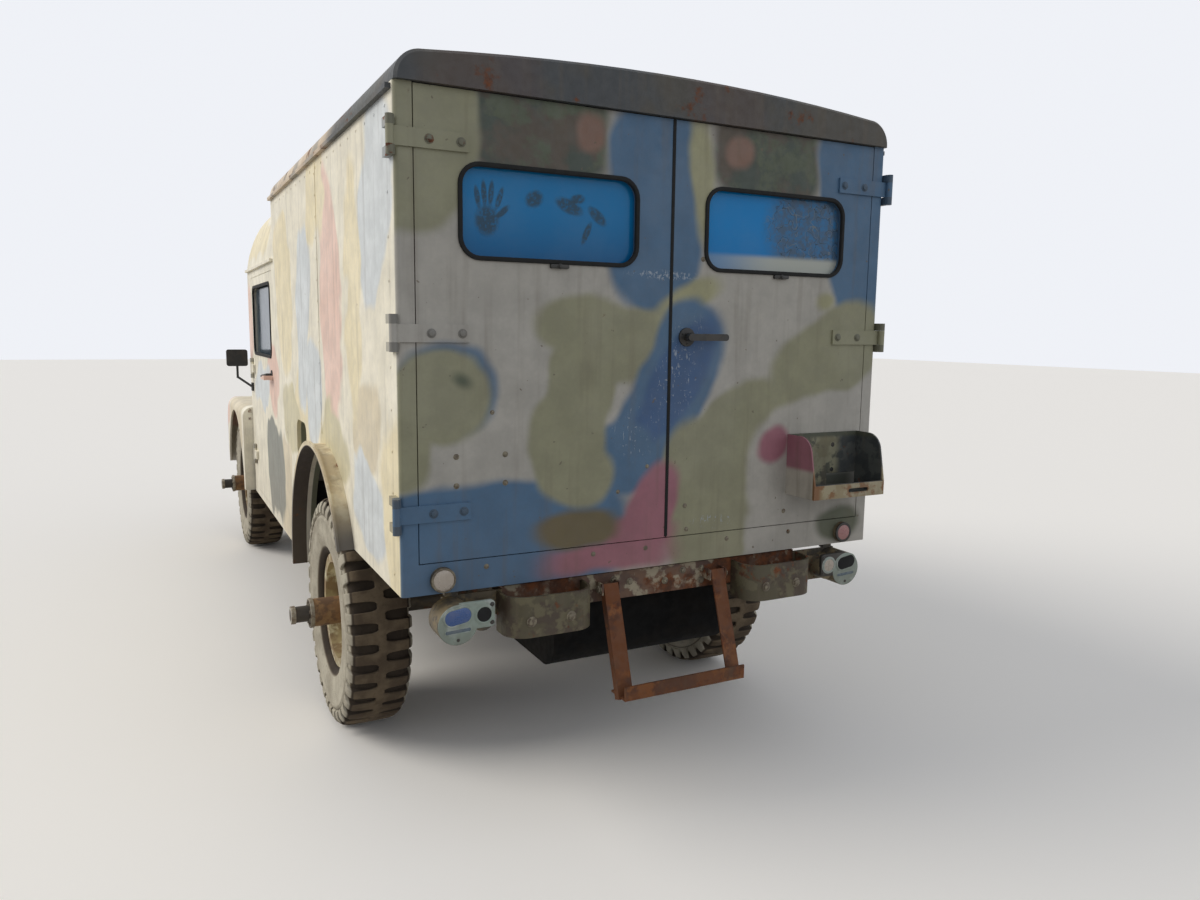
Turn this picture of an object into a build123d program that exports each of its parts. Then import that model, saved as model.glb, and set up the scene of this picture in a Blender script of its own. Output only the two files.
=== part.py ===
"""Military ambulance truck of the 3/4 ton class, driven on all four wheels, with a steel box body.

Frame: +Y is forward, +X is the truck's right, +Z is up, millimetres.
The origin is on the ground, at the middle of the truck's length and width.
Places along the truck are given as distances forward of the rear doors' outer face.
"""
import math
import os

from build123d import *

# Wheels and axles
WHEELBASE = 3200.0
REAR_AXLE = 1050.0           # distance forward of the rear face
FRONT_AXLE = REAR_AXLE + WHEELBASE
TRACK = 1575.0
TYRE_RADIUS = 445.0
TYRE_WIDTH = 240.0
AXLE_Z = TYRE_RADIUS
FIT = 0.3                    # gap between pieces that turn in one another
SEAM = 3.0                   # gap round a closed door
GLASS = 6.0

# Box body
BODY_HALF = 875.0
WALL = 40.0
INSIDE = BODY_HALF - WALL
POST_DEPTH = 60.0
SILL_Z = 787.0               # underside of the rear sill and of the sides behind the wheels
FLOOR_Z = 878.0              # load floor, and lower edge of the rear doors
FLOOR_THICK = 40.0
EAVE_Z = 2180.0
DOOR_TOP_Z = EAVE_Z + 20
CROWN_Z = 2322.0
SHOULDER_Z = CROWN_Z - 38
SHOULDER_RADIUS = 80.0
ROOF_THICK = 30.0
ROOF_CAP = 16.0              # how far the roof stands past the rear doors
ROOF_EDGE = 9.0              # bevel round the roof's rear edge
GUTTER = 16.0
GUTTER_TALL = 14.0
REAR_OPENING_HALF = BODY_HALF - 51
SKIRT_Z = 490.0              # lower edge of the sides ahead of the rear wheels
BODY_END = 2460.0            # where the load body ends and the cab roof starts
CORNER_R = 14.0

# Cab
CAB_LONG = 1210.0
CAB_FRONT = BODY_END + CAB_LONG
CAB_EAVE_Z = EAVE_Z - 300
CAB_FLOOR_Z = 815.0
CAB_FLOOR_THICK = 30.0
FRONT_PANEL = 30.0
CAB_SHOULDER_X = BODY_HALF - 175     # where the cab roof's crown meets its rounded side
CAB_SHOULDER_Z = CROWN_Z - 84
CAB_SIDE_X = BODY_HALF - 40  # where its rounded side meets its leaning flank
CAB_SIDE_Z = CAB_EAVE_Z + 220
BROW_Y = CAB_FRONT - 240     # a point of the cab roof's fall towards the windscreen
BROW_START_DROP = 3.0
BROW_Z = CROWN_Z - 224
BROW_FOOT_Z = CAB_EAVE_Z + 16

# Rear wheel arches, their flares, and the housings over the wheels inside
ARCH_Y = REAR_AXLE + 68
ARCH_Z = AXLE_Z + 103
ARCH_RADIUS = 540.0
FLARE_OUT = BODY_HALF + 61
FLARE_THICK = 8.0
FLARE_LIP = 20.0
HOUSING_IN = TRACK / 2 - TYRE_WIDTH / 2 - 27.5
HOUSING_R = ARCH_RADIUS + 10
HOUSING_SKIN = 10.0

# Cab doors
CAB_DOOR_REAR = BODY_END + 60
CAB_DOOR_FRONT = CAB_FRONT - 170
CAB_DOOR_LOW = SKIRT_Z + 40
CAB_DOOR_HIGH = CAB_EAVE_Z - 40
CAB_DOOR_R = 40.0
CAB_GLASS_LOW = 1385.0
CAB_GLASS_HIGH = CAB_DOOR_HIGH - 60
CAB_GLASS_SIDE = 100.0       # door frame beside the window
CAB_GLASS_R = 45.0
CAB_HINGE_X = BODY_HALF + 11
CAB_HINGE_ZS = (750.0, 1290.0)
CAB_BARREL = 70.0
BARREL_R = 10.0
CAB_GRIP_Z = CAB_GLASS_LOW - 110
CAB_GRIP_LONG = 140.0
CAB_GRIP_TALL = 22.0
CAB_GRIP_OUT = 48.0
CAB_GRIP_THICK = 14.0
CAB_LEAF_LONG = 90.0
CAB_LEAF_TALL = 50.0
CAB_LEAF_PROUD = 4.0

# Rear doors
REAR_GLASS_SIDE = 132.0      # door skin beside the window
REAR_GLASS_W = REAR_OPENING_HALF - 2 * REAR_GLASS_SIDE
REAR_GLASS_X = REAR_OPENING_HALF / 2 - 2
REAR_GLASS_H = 252.0
REAR_GLASS_Z = DOOR_TOP_Z - 324
REAR_GLASS_R = 55.0
HINGE_X = BODY_HALF + 14
HINGE_Y = -14.0
HINGE_R = 11.0
HINGE_ZS = (FLOOR_Z + 148, FLOOR_Z + 658, FLOOR_Z + 1178)
STRAP_END = REAR_OPENING_HALF - 156
STRAP_TALL = 50.0
STRAP_THICK = 7.0
KNUCKLE = 26.0               # length of a fixed hinge knuckle

# Chassis
RAIL_OUT = 405.0
RAIL_FLANGE = 52.0
RAIL_WEB = 6.0
RAIL_LOW = 640.0
RAIL_HIGH = 775.0
REAR_CROSS_FACE = 30.0
REAR_CROSS_DEEP = 40.0
REAR_CROSS_HALF = 560.0
REAR_CROSS_LOW = RAIL_HIGH - 90
RAIL_REAR = REAR_CROSS_FACE + REAR_CROSS_DEEP
FRONT_OVERHANG = 760.0       # bumper's front face ahead of the front axle
BUMPER_FRONT = FRONT_AXLE + FRONT_OVERHANG
BUMPER_DEEP = 60.0
BUMPER_SKIN = 8.0
BUMPER_BEVEL = 30.0
RAIL_FRONT = BUMPER_FRONT - BUMPER_DEEP
BUMPER_HALF = 790.0
BUMPER_LOW = RAIL_LOW - 70
BUMPER_TALL = 160.0
SPRING_X = RAIL_OUT - 25
SPRING_WIDE = 60.0

# Front end
FENDER_TOP = 1030.0
FENDER_OUT = BODY_HALF + 61
FENDER_IN = 430.0
FENDER_SKIN = 12.0
FENDER_FRONT = BUMPER_FRONT - 150
FENDER_ARCH = TYRE_RADIUS + 75
FENDER_NOSE = 200.0          # radius of the fender's nose, seen from the side
FENDER_ROUND = 60.0          # rounding of its outer upper edge
FENDER_LOW = 740.0           # lower edge of its nose
FENDER_TUCK = 120.0          # how far the nose's foot leans back
INNER_LOW = 780.0            # lower edge of its inner wall
HOOD_REAR = CAB_FRONT + 95
HOOD_FRONT = FENDER_FRONT - 90
HOOD_HALF_REAR = 560.0
HOOD_HALF_FRONT = FENDER_IN
HOOD_TOP_REAR = 1330.0
HOOD_TOP_FRONT = HOOD_TOP_REAR - 55
HOOD_LOW = FENDER_TOP + 100
HOOD_SKIN = 14.0
HOOD_ROUND = 85.0
HOOD_HINGE_XS = (-300.0, 300.0)
HOOD_HINGE_Y = HOOD_REAR - 3
HOOD_HINGE_Z = HOOD_TOP_REAR + 8
HOOD_BARREL = 44.0
HOOD_BARREL_R = 8.0
HOOD_LEAF_LONG = 60.0
GRILLE_THICK = 40.0
GRILLE_LOW = 780.0
SLOT_COUNT = 9
SLOT_PITCH = 74.0
SLOT_WIDE = 34.0
SLOT_TALL = 394.0
LAMP_X = FENDER_OUT - 256
LAMP_Y = FENDER_FRONT - 30
LAMP_Z = FENDER_TOP - 130
LAMP_R = 92.0

# Wheels and steering
RIM_R = 205.0
RIM_HALF = 82.0
RIM_FLANGE = 18.0
RIM_SHEET = 5.0
DISC_X = 30.0                # wheel disc, outward of the tyre's centre plane
HUB_R = 54.0
HUB_OUT = 180.0
CAP_R = 31.0
CAP_OUT = 250.0
SPINDLE_R = 32.0
DRUM_R = 165.0
HAND_HOLES = 5
HAND_HOLE_R = 14.0
HAND_HOLE_CIRCLE = 158.0
LUG_COUNT = 28               # lugs on each half of the tread
LUG_DEEP = 17.0
LUG_LONG = 56.0
LUG_CENTRE = 7.0             # how far a lug starts from the tread's middle
KINGPIN_X = TRACK / 2 - 147.5
KINGPIN_R = 18.0
BALL_R = 60.0
EAR_THICK = 30.0
EAR_HALF = 38.0
ARM_BACK = 180.0
ARM_THICK = 20.0
TIE_Z = AXLE_Z - 120
TIE_R = 13.0

# Rear step
STEP_PIVOT_Y = 0.0
STEP_PIVOT_Z = RAIL_HIGH - 40
STEP_HALF = 231.0
STEP_LEG = 52.0
STEP_LEG_TALL = 28.0
STEP_DROP = 315.0
STEP_BACK = 105.0
STEP_SHEET = 6.0
STEP_TREAD = 90.0
STEP_LIP = 45.0
STEP_PIN_R = 6.0

# The origin is half way between the step's rear edge and the bumper's front face
STEP_REACH = STEP_BACK + STEP_TREAD / 2 - STEP_PIVOT_Y
REAR_FACE = -(BUMPER_FRONT - STEP_REACH) / 2

os.makedirs("parts", exist_ok=True)
made = {}


def fwd(distance):
    """Y of a point this far forward of the rear face."""
    return REAR_FACE + distance


def across(distance):
    """Plane facing rearward: local x is X, local y is Z. A negative extrude goes forward."""
    return Plane(origin=(0, fwd(distance), 0), x_dir=(1, 0, 0), z_dir=(0, -1, 0))


def along(x):
    """Plane facing right: local x is Y, local y is Z. A positive extrude goes to +X."""
    return Plane(origin=(x, 0, 0), x_dir=(0, 1, 0), z_dir=(1, 0, 0))


def level(z):
    """Horizontal plane at height z."""
    return Plane.XY.offset(z)


def block(x0, x1, y0, y1, z0, z1, mode=Mode.ADD):
    """Box inside the current part, with y0 and y1 given as distances forward of the rear face."""
    with Locations(((x0 + x1) / 2, fwd((y0 + y1) / 2), (z0 + z1) / 2)):
        Box(x1 - x0, y1 - y0, z1 - z0, mode=mode)


def rod(start, end, radius, mode=Mode.ADD):
    """Round bar between two points inside the current part, places along the truck as in block."""
    first = Vector(start[0], fwd(start[1]), start[2])
    run = Vector(end[0], fwd(end[1]), end[2]) - first
    with Locations(Plane(origin=first, z_dir=run)):
        Cylinder(radius, run.length, align=(Align.CENTER, Align.CENTER, Align.MIN), mode=mode)


def keep(part, name):
    """Labels a finished piece and writes it."""
    part.label = name
    export_step(part, f"parts/{name}.step")
    made[name] = part


# Ladder frame: two channel rails, their cross members, and the step's ears on the rear one
FRONT_CROSS = HOOD_FRONT - 190
CROSS_MEMBERS = (700.0, 1750.0, BODY_END - 220, FRONT_CROSS)   # distances forward of the rear face
CROSS_DEEP = 60.0
CROSS_LOW = RAIL_LOW + 20
EAR_REACH = 14.0
EAR_TALL = 36.0
EAR_GAP = 2.0
with BuildPart() as frame:
    with BuildSketch(across(RAIL_REAR)):
        with Locations((RAIL_OUT - RAIL_FLANGE / 2, (RAIL_LOW + RAIL_HIGH) / 2)):
            Rectangle(RAIL_FLANGE, RAIL_HIGH - RAIL_LOW)
        with Locations((RAIL_OUT - RAIL_WEB - RAIL_FLANGE / 2, (RAIL_LOW + RAIL_HIGH) / 2)):
            Rectangle(RAIL_FLANGE, RAIL_HIGH - RAIL_LOW - 2 * RAIL_WEB, mode=Mode.SUBTRACT)
        mirror(about=Plane.YZ)
    extrude(amount=-(RAIL_FRONT - RAIL_REAR))
    inside = RAIL_OUT - RAIL_WEB
    high = RAIL_HIGH - RAIL_WEB
    for y in CROSS_MEMBERS:
        block(-inside, inside, y, y + CROSS_DEEP, CROSS_LOW, high)
        block(
            -inside, inside, y + RAIL_WEB, y + CROSS_DEEP,
            CROSS_LOW + RAIL_WEB, high - RAIL_WEB, mode=Mode.SUBTRACT,
        )
    block(-REAR_CROSS_HALF, REAR_CROSS_HALF, REAR_CROSS_FACE, RAIL_REAR, REAR_CROSS_LOW, RAIL_HIGH)
    block(
        -REAR_CROSS_HALF, REAR_CROSS_HALF, REAR_CROSS_FACE + RAIL_WEB, RAIL_REAR,
        REAR_CROSS_LOW + RAIL_WEB, RAIL_HIGH - RAIL_WEB, mode=Mode.SUBTRACT,
    )
    for side in (-1, 1):
        for edge in (STEP_HALF + EAR_GAP, STEP_HALF - STEP_LEG - EAR_GAP - STEP_SHEET):
            x0, x1 = sorted((side * edge, side * (edge + STEP_SHEET)))
            block(
                x0, x1, STEP_PIVOT_Y - EAR_REACH, REAR_CROSS_FACE,
                STEP_PIVOT_Z - EAR_TALL / 2, STEP_PIVOT_Z + EAR_TALL / 2,
            )
            bore = ((x0 - 1, STEP_PIVOT_Y, STEP_PIVOT_Z), (x1 + 1, STEP_PIVOT_Y, STEP_PIVOT_Z))
            rod(*bore, STEP_PIN_R + FIT, mode=Mode.SUBTRACT)
keep(frame.part, "frame")

# Rear bumperettes: bands bent to a D, open above, each with a bracket plate inside
BAND_X = RAIL_OUT + 28
BAND_HALF = 145.0
BAND_FACE = -80.0
BAND_DEEP = REAR_CROSS_FACE - BAND_FACE
BAND_LOW = REAR_CROSS_LOW - 45
BAND_HIGH = RAIL_HIGH - 10
BAND_SKIN = 8.0
BAND_ROUND = 70.0
SHELF_BACK = 40.0            # bracket plate, forward of the band's rear face
SHELF_Z = REAR_CROSS_LOW + 5
with BuildPart() as bumperettes:
    with BuildSketch(level(BAND_LOW)) as band:
        with Locations((BAND_X, fwd(BAND_FACE + BAND_DEEP / 2))):
            Rectangle(2 * BAND_HALF, BAND_DEEP)
        fillet(band.vertices().group_by(Axis.Y)[0], BAND_ROUND)
        with BuildSketch(mode=Mode.PRIVATE) as inner_band:
            with Locations((BAND_X, fwd(BAND_FACE + BAND_SKIN + BAND_DEEP / 2))):
                Rectangle(2 * (BAND_HALF - BAND_SKIN), BAND_DEEP)
            fillet(inner_band.vertices().group_by(Axis.Y)[0], BAND_ROUND - BAND_SKIN)
        add(inner_band.sketch, mode=Mode.SUBTRACT)
        mirror(about=Plane.YZ)
    extrude(amount=BAND_HIGH - BAND_LOW)
    for x in (-BAND_X, BAND_X):
        reach = BAND_HALF - BAND_SKIN
        block(x - reach, x + reach, BAND_FACE + SHELF_BACK, REAR_CROSS_FACE, SHELF_Z, SHELF_Z + BAND_SKIN)
keep(bumperettes.part, "rear_bumperettes")

# Front bumper: a channel across the rail ends, on two brackets
with BuildPart() as front_bumper:
    block(-BUMPER_HALF, BUMPER_HALF, RAIL_FRONT, BUMPER_FRONT, BUMPER_LOW, BUMPER_LOW + BUMPER_TALL)
    chamfer(edges().filter_by(Axis.Z).group_by(Axis.Y)[-1], BUMPER_BEVEL)
    face = BUMPER_FRONT - BUMPER_SKIN
    high = BUMPER_LOW + BUMPER_TALL - BUMPER_SKIN
    block(-BUMPER_HALF, BUMPER_HALF, RAIL_FRONT, face, BUMPER_LOW + BUMPER_SKIN, high, mode=Mode.SUBTRACT)
    for side in (-1, 1):
        x0, x1 = sorted((side * RAIL_OUT, side * (RAIL_OUT - RAIL_FLANGE)))
        block(x0, x1, RAIL_FRONT, face, RAIL_LOW, high)
keep(front_bumper.part, "front_bumper")

# Axles: tubes with their differential housings and spring seats
DIFF_R = 130.0
DIFF_X = 110.0
DIFF_HALF = 55.0
DIFF_BEVEL = 25.0
TUBE_R = 44.0
SPRING_SEAT_HALF = 38.0
SPRING_SEAT_LONG = 120.0
SEAT_LOW = 30.0              # spring seat's faces, above the axle line
SEAT_HIGH = 60.0
HUB_FACE = 90.0              # where the spindle ends, outward of the tyre's centre plane
PLATE_FACE = 75.0            # brake plate, inward of the tyre's centre plane
PLATE_THICK = 10.0


def axle_housing(y, half):
    """Differential, tubes and spring seats about an axle line."""
    rod((DIFF_X, y - DIFF_HALF, AXLE_Z), (DIFF_X, y + DIFF_HALF, AXLE_Z), DIFF_R)
    chamfer(edges().filter_by(GeomType.CIRCLE).group_by(SortBy.RADIUS)[-1], DIFF_BEVEL)
    rod((-half, y, AXLE_Z), (half, y, AXLE_Z), TUBE_R)
    for x in (-SPRING_X, SPRING_X):
        block(
            x - SPRING_SEAT_HALF, x + SPRING_SEAT_HALF, y - SPRING_SEAT_LONG / 2, y + SPRING_SEAT_LONG / 2,
            AXLE_Z + SEAT_LOW, AXLE_Z + SEAT_HIGH,
        )


with BuildPart() as rear_axle:
    axle_housing(REAR_AXLE, TRACK / 2 - PLATE_FACE)
    reach = TRACK / 2 + HUB_FACE
    rod((-reach, REAR_AXLE, AXLE_Z), (reach, REAR_AXLE, AXLE_Z), SPINDLE_R)
    for side in (-1, 1):
        x = side * (TRACK / 2 - PLATE_FACE)
        rod((x, REAR_AXLE, AXLE_Z), (x + side * PLATE_THICK, REAR_AXLE, AXLE_Z), DRUM_R)
keep(rear_axle.part, "rear_axle")

BALL_BEVEL = 24.0
with BuildPart() as front_axle:
    for x in (-KINGPIN_X, KINGPIN_X):
        rod((x - BALL_R, FRONT_AXLE, AXLE_Z), (x + BALL_R, FRONT_AXLE, AXLE_Z), BALL_R)
    chamfer(edges().filter_by(GeomType.CIRCLE), BALL_BEVEL)
    axle_housing(FRONT_AXLE, KINGPIN_X)
    reach = BALL_R + EAR_THICK + 4
    for x in (-KINGPIN_X, KINGPIN_X):
        rod((x, FRONT_AXLE, AXLE_Z - reach), (x, FRONT_AXLE, AXLE_Z + reach), KINGPIN_R)
keep(front_axle.part, "front_axle")

# Leaf springs: leaves curved upward at their ends, longest on top, hung from the rails
LEAF = 10.0
LEAF_COUNT = 5
LEAF_STEP = 0.17             # how much shorter each leaf is than the one above
LEAF_HALF = 540.0
LEAF_SAG = 62.0
HANGER = 28.0
LEAF_BEND = (LEAF_HALF**2 + LEAF_SAG**2) / (2 * LEAF_SAG)
PACK_TOP = AXLE_Z + SEAT_HIGH + LEAF_COUNT * LEAF
with BuildPart() as springs:
    for axle_y in (REAR_AXLE, FRONT_AXLE):
        for n in range(LEAF_COUNT):
            turn = math.degrees(math.asin(LEAF_HALF * (1 - LEAF_STEP * n) / LEAF_BEND))
            inner = LEAF_BEND + n * LEAF
            centre = (fwd(axle_y), PACK_TOP + LEAF_BEND)
            with BuildSketch(along(SPRING_X - SPRING_WIDE / 2)):
                with BuildLine():
                    low = CenterArc(centre, inner + LEAF, 270 - turn, 2 * turn)
                    high = CenterArc(centre, inner, 270 - turn, 2 * turn)
                    Line(low @ 0, high @ 0)
                    Line(low @ 1, high @ 1)
                make_face()
            extrude(amount=SPRING_WIDE)
        for end in (-1, 1):
            y = axle_y + end * (LEAF_HALF - HANGER)
            half = SPRING_WIDE / 2
            foot = PACK_TOP + LEAF_SAG - HANGER
            block(SPRING_X - half, SPRING_X + half, y - HANGER / 2, y + HANGER / 2, foot, RAIL_LOW)
    mirror(about=Plane.YZ)
keep(springs.part, "leaf_springs")

# Engine and gearbox, transfer case, and propeller shafts between its flanges and the axles
ENGINE_REAR = CAB_FRONT + 120
ENGINE_FRONT = ENGINE_REAR + 690
ENGINE_HALF = 190.0
ENGINE_LOW = RAIL_LOW - 20
ENGINE_HIGH = ENGINE_LOW + 460
GEARBOX_REAR = BODY_END + 505
GEARBOX_HALF = 110.0
GEARBOX_LOW = RAIL_LOW - 30
GEARBOX_HIGH = CAB_FLOOR_Z - 45
with BuildPart() as engine:
    block(-ENGINE_HALF, ENGINE_HALF, ENGINE_REAR, ENGINE_FRONT, ENGINE_LOW, ENGINE_HIGH)
    block(-GEARBOX_HALF, GEARBOX_HALF, GEARBOX_REAR, ENGINE_REAR, GEARBOX_LOW, GEARBOX_HIGH)
keep(engine.part, "engine_block")

TRANSFER_REAR = BODY_END - 120
TRANSFER_FRONT = TRANSFER_REAR + 300
TRANSFER_LEFT = 60.0
TRANSFER_RIGHT = 190.0
TRANSFER_LOW = RAIL_LOW - 200
TRANSFER_HIGH = RAIL_LOW + 50
TRANSFER_R = 40.0
DRIVE_HALF = 20.0            # half of the short drive bar from the gearbox
DRIVE_LOW = GEARBOX_LOW + 15
with BuildPart() as transfer_case:
    block(-TRANSFER_LEFT, TRANSFER_RIGHT, TRANSFER_REAR, TRANSFER_FRONT, TRANSFER_LOW, TRANSFER_HIGH)
    fillet(edges().filter_by(Axis.Y), TRANSFER_R)
    block(-DRIVE_HALF, DRIVE_HALF, TRANSFER_FRONT, GEARBOX_REAR, DRIVE_LOW, DRIVE_LOW + 2 * DRIVE_HALF)
keep(transfer_case.part, "transfer_case")

SHAFT_R = 32.0
FLANGE_R = 48.0
FLANGE = 20.0
with BuildPart() as propshafts:
    for axle_end, case_end, case_z in (
        (REAR_AXLE + DIFF_HALF, TRANSFER_REAR, TRANSFER_LOW + 100),
        (FRONT_AXLE - DIFF_HALF, TRANSFER_FRONT, TRANSFER_LOW + 80),
    ):   # flange at the axle, flange at the transfer case, its height
        step = math.copysign(FLANGE, case_end - axle_end)
        rod((DIFF_X, axle_end, AXLE_Z), (DIFF_X, axle_end + step, AXLE_Z), FLANGE_R)
        rod((DIFF_X, axle_end + step / 2, AXLE_Z), (DIFF_X, case_end - step / 2, case_z), SHAFT_R)
        rod((DIFF_X, case_end - step, case_z), (DIFF_X, case_end, case_z), FLANGE_R)
keep(propshafts.part, "propshafts")

# Radiator behind the front panel
RADIATOR_FRONT = HOOD_FRONT - 130
RADIATOR_THICK = 50.0
RADIATOR_HALF = HOOD_HALF_FRONT - 130
RADIATOR_HIGH = HOOD_TOP_FRONT - 60
with BuildPart() as radiator:
    rear = RADIATOR_FRONT - RADIATOR_THICK
    block(-RADIATOR_HALF, RADIATOR_HALF, rear, RADIATOR_FRONT, RAIL_HIGH - RAIL_WEB, RADIATOR_HIGH)
keep(radiator.part, "radiator")

# Fuel tank between the rails, on lugs that rest on their lower flanges
TANK_REAR = RAIL_REAR + 60
TANK_LONG = 510.0
TANK_HALF = RAIL_OUT - RAIL_FLANGE - 13
TANK_LOW = RAIL_LOW - 210
TANK_ROUND = 90.0
TANK_LUG = 40.0
TANK_LUG_INSET = 90.0
with BuildPart() as fuel_tank:
    block(-TANK_HALF, TANK_HALF, TANK_REAR, TANK_REAR + TANK_LONG, TANK_LOW, RAIL_LOW + 50)
    fillet(edges().filter_by(Axis.X).group_by(Axis.Z)[0], TANK_ROUND)
    half = RAIL_OUT - RAIL_FLANGE
    for y in (TANK_REAR + TANK_LUG_INSET, TANK_REAR + TANK_LONG - TANK_LUG_INSET - TANK_LUG):
        block(-half, half, y, y + TANK_LUG, RAIL_LOW, RAIL_LOW + RAIL_WEB)
keep(fuel_tank.part, "fuel_tank")

# Exhaust along the right rail: front pipe, silencer, tail pipe turned out behind it
EXHAUST_X = RAIL_OUT + 195
EXHAUST_Z = RAIL_LOW - 40
PIPE_R = 24.0
SILENCER_R = 75.0
SILENCER_FRONT = BODY_END + 90
SILENCER_LONG = 600.0
TAIL_LONG = 190.0            # straight tail pipe behind the silencer
TAIL_TURN = 60.0             # how far back its turned end reaches
TAIL_FALL = 100.0
EXHAUST_HANGER = 30.0
with BuildPart() as exhaust:
    rear = SILENCER_FRONT - SILENCER_LONG
    bend = (EXHAUST_X, rear - TAIL_LONG, EXHAUST_Z)
    rod((EXHAUST_X, rear, EXHAUST_Z), (EXHAUST_X, SILENCER_FRONT, EXHAUST_Z), SILENCER_R)
    rod((EXHAUST_X, SILENCER_FRONT, EXHAUST_Z), (EXHAUST_X, CAB_FRONT - 370, EXHAUST_Z), PIPE_R)
    rod((EXHAUST_X, rear - TAIL_LONG - PIPE_R, EXHAUST_Z), (EXHAUST_X, rear, EXHAUST_Z), PIPE_R)
    rod(bend, (BODY_HALF - 90, bend[1] - TAIL_TURN, EXHAUST_Z - TAIL_FALL), PIPE_R)
    for y in (rear + 100, SILENCER_FRONT - 100):
        block(
            RAIL_OUT, EXHAUST_X - SILENCER_R + 15, y - EXHAUST_HANGER / 2, y + EXHAUST_HANGER / 2,
            RAIL_LOW - 20, RAIL_LOW + 10,
        )
keep(exhaust.part, "exhaust")

# Sides of the body and cab, with the rear wheel arches, the cab door openings and the left filler opening
FILLER_Y = REAR_AXLE + 650
FILLER_Z = 1035.0
FILLER_W = 270.0
FILLER_H = 190.0
FILLER_R = 60.0
DOOR_MID = (CAB_DOOR_REAR + CAB_DOOR_FRONT) / 2
with BuildPart() as sides:
    with BuildSketch(along(INSIDE)):
        with BuildLine():
            Polyline(
                (fwd(POST_DEPTH), SILL_Z),
                (fwd(POST_DEPTH), EAVE_Z),
                (fwd(BODY_END), EAVE_Z),
                (fwd(BODY_END), CAB_EAVE_Z),
                (fwd(CAB_FRONT - FRONT_PANEL), CAB_EAVE_Z),
                (fwd(CAB_FRONT - FRONT_PANEL), SKIRT_Z),
                (fwd(ARCH_Y), SKIRT_Z),
                (fwd(ARCH_Y), SILL_Z),
                close=True,
            )
        make_face()
        with Locations((fwd(ARCH_Y), ARCH_Z)):
            Circle(ARCH_RADIUS, mode=Mode.SUBTRACT)
        with Locations((fwd(DOOR_MID), (CAB_DOOR_LOW + CAB_DOOR_HIGH) / 2)):
            RectangleRounded(
                CAB_DOOR_FRONT - CAB_DOOR_REAR, CAB_DOOR_HIGH - CAB_DOOR_LOW, CAB_DOOR_R, mode=Mode.SUBTRACT,
            )
    extrude(amount=WALL)
    mirror(about=Plane.YZ)
    with BuildSketch(along(-BODY_HALF)):
        with Locations((fwd(FILLER_Y), FILLER_Z)):
            RectangleRounded(FILLER_W, FILLER_H, FILLER_R)
    extrude(amount=WALL, mode=Mode.SUBTRACT)
keep(sides.part, "body_sides")

# Pocket behind the filler opening, with the neck and cap inside
POCKET_DEEP = 70.0
POCKET_SKIN = 10.0
NECK_R = 38.0
FILLER_CAP_R = 50.0
FILLER_CAP_OUT = 12.0
with BuildPart() as filler:
    with BuildSketch(along(-INSIDE)):
        with Locations((fwd(FILLER_Y), FILLER_Z)):
            Rectangle(FILLER_W + 2 * POCKET_SKIN, FILLER_H + 2 * POCKET_SKIN)
    extrude(amount=POCKET_DEEP)
    with BuildSketch(along(-INSIDE)):
        with Locations((fwd(FILLER_Y), FILLER_Z)):
            RectangleRounded(FILLER_W, FILLER_H, FILLER_R)
    extrude(amount=POCKET_DEEP - POCKET_SKIN, mode=Mode.SUBTRACT)
    neck_z = FILLER_Z - 12
    bottom = -INSIDE + POCKET_DEEP - POCKET_SKIN
    rod((bottom, FILLER_Y, neck_z), (-INSIDE, FILLER_Y, neck_z), NECK_R)
    cap = (-INSIDE + FILLER_CAP_OUT, -INSIDE - FILLER_CAP_OUT)
    rod((cap[0], FILLER_Y, neck_z), (cap[1], FILLER_Y, neck_z), FILLER_CAP_R)
keep(filler.part, "fuel_filler")

# Rear corner posts and sill round the rear doors
with BuildPart() as rear_frame:
    with BuildSketch(across(0)):
        with Locations((0, (SILL_Z + DOOR_TOP_Z) / 2)):
            Rectangle(2 * BODY_HALF, DOOR_TOP_Z - SILL_Z)
        with Locations((0, (FLOOR_Z + DOOR_TOP_Z + SEAM) / 2)):
            Rectangle(2 * REAR_OPENING_HALF, DOOR_TOP_Z + SEAM - FLOOR_Z, mode=Mode.SUBTRACT)
    extrude(amount=-POST_DEPTH)
    upright = edges().filter_by(Axis.Z).group_by(Axis.Y)[0].sort_by(Axis.X)
    fillet([upright[0], upright[-1]], CORNER_R)
keep(rear_frame.part, "rear_frame")


# Roof: the body's, crowned with rounded shoulders, and the cab's, which leans in and falls to the windscreen
def body_section(inset):
    """Body roof's cross section above the cab's eave."""
    half = BODY_HALF - inset
    corner = SHOULDER_RADIUS - inset
    bulge = corner * (1 - math.sqrt(0.5))
    top = SHOULDER_Z - inset
    with BuildSketch(mode=Mode.PRIVATE) as section:
        with BuildLine():
            Polyline((half, top - corner), (half, CAB_EAVE_Z), (-half, CAB_EAVE_Z), (-half, top - corner))
            ThreePointArc((-half, top - corner), (-half + bulge, top - bulge), (-half + corner, top))
            ThreePointArc((-half + corner, top), (0, CROWN_Z - inset), (half - corner, top))
            ThreePointArc((half - corner, top), (half - bulge, top - bulge), (half, top - corner))
        make_face()
    return section.sketch


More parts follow.
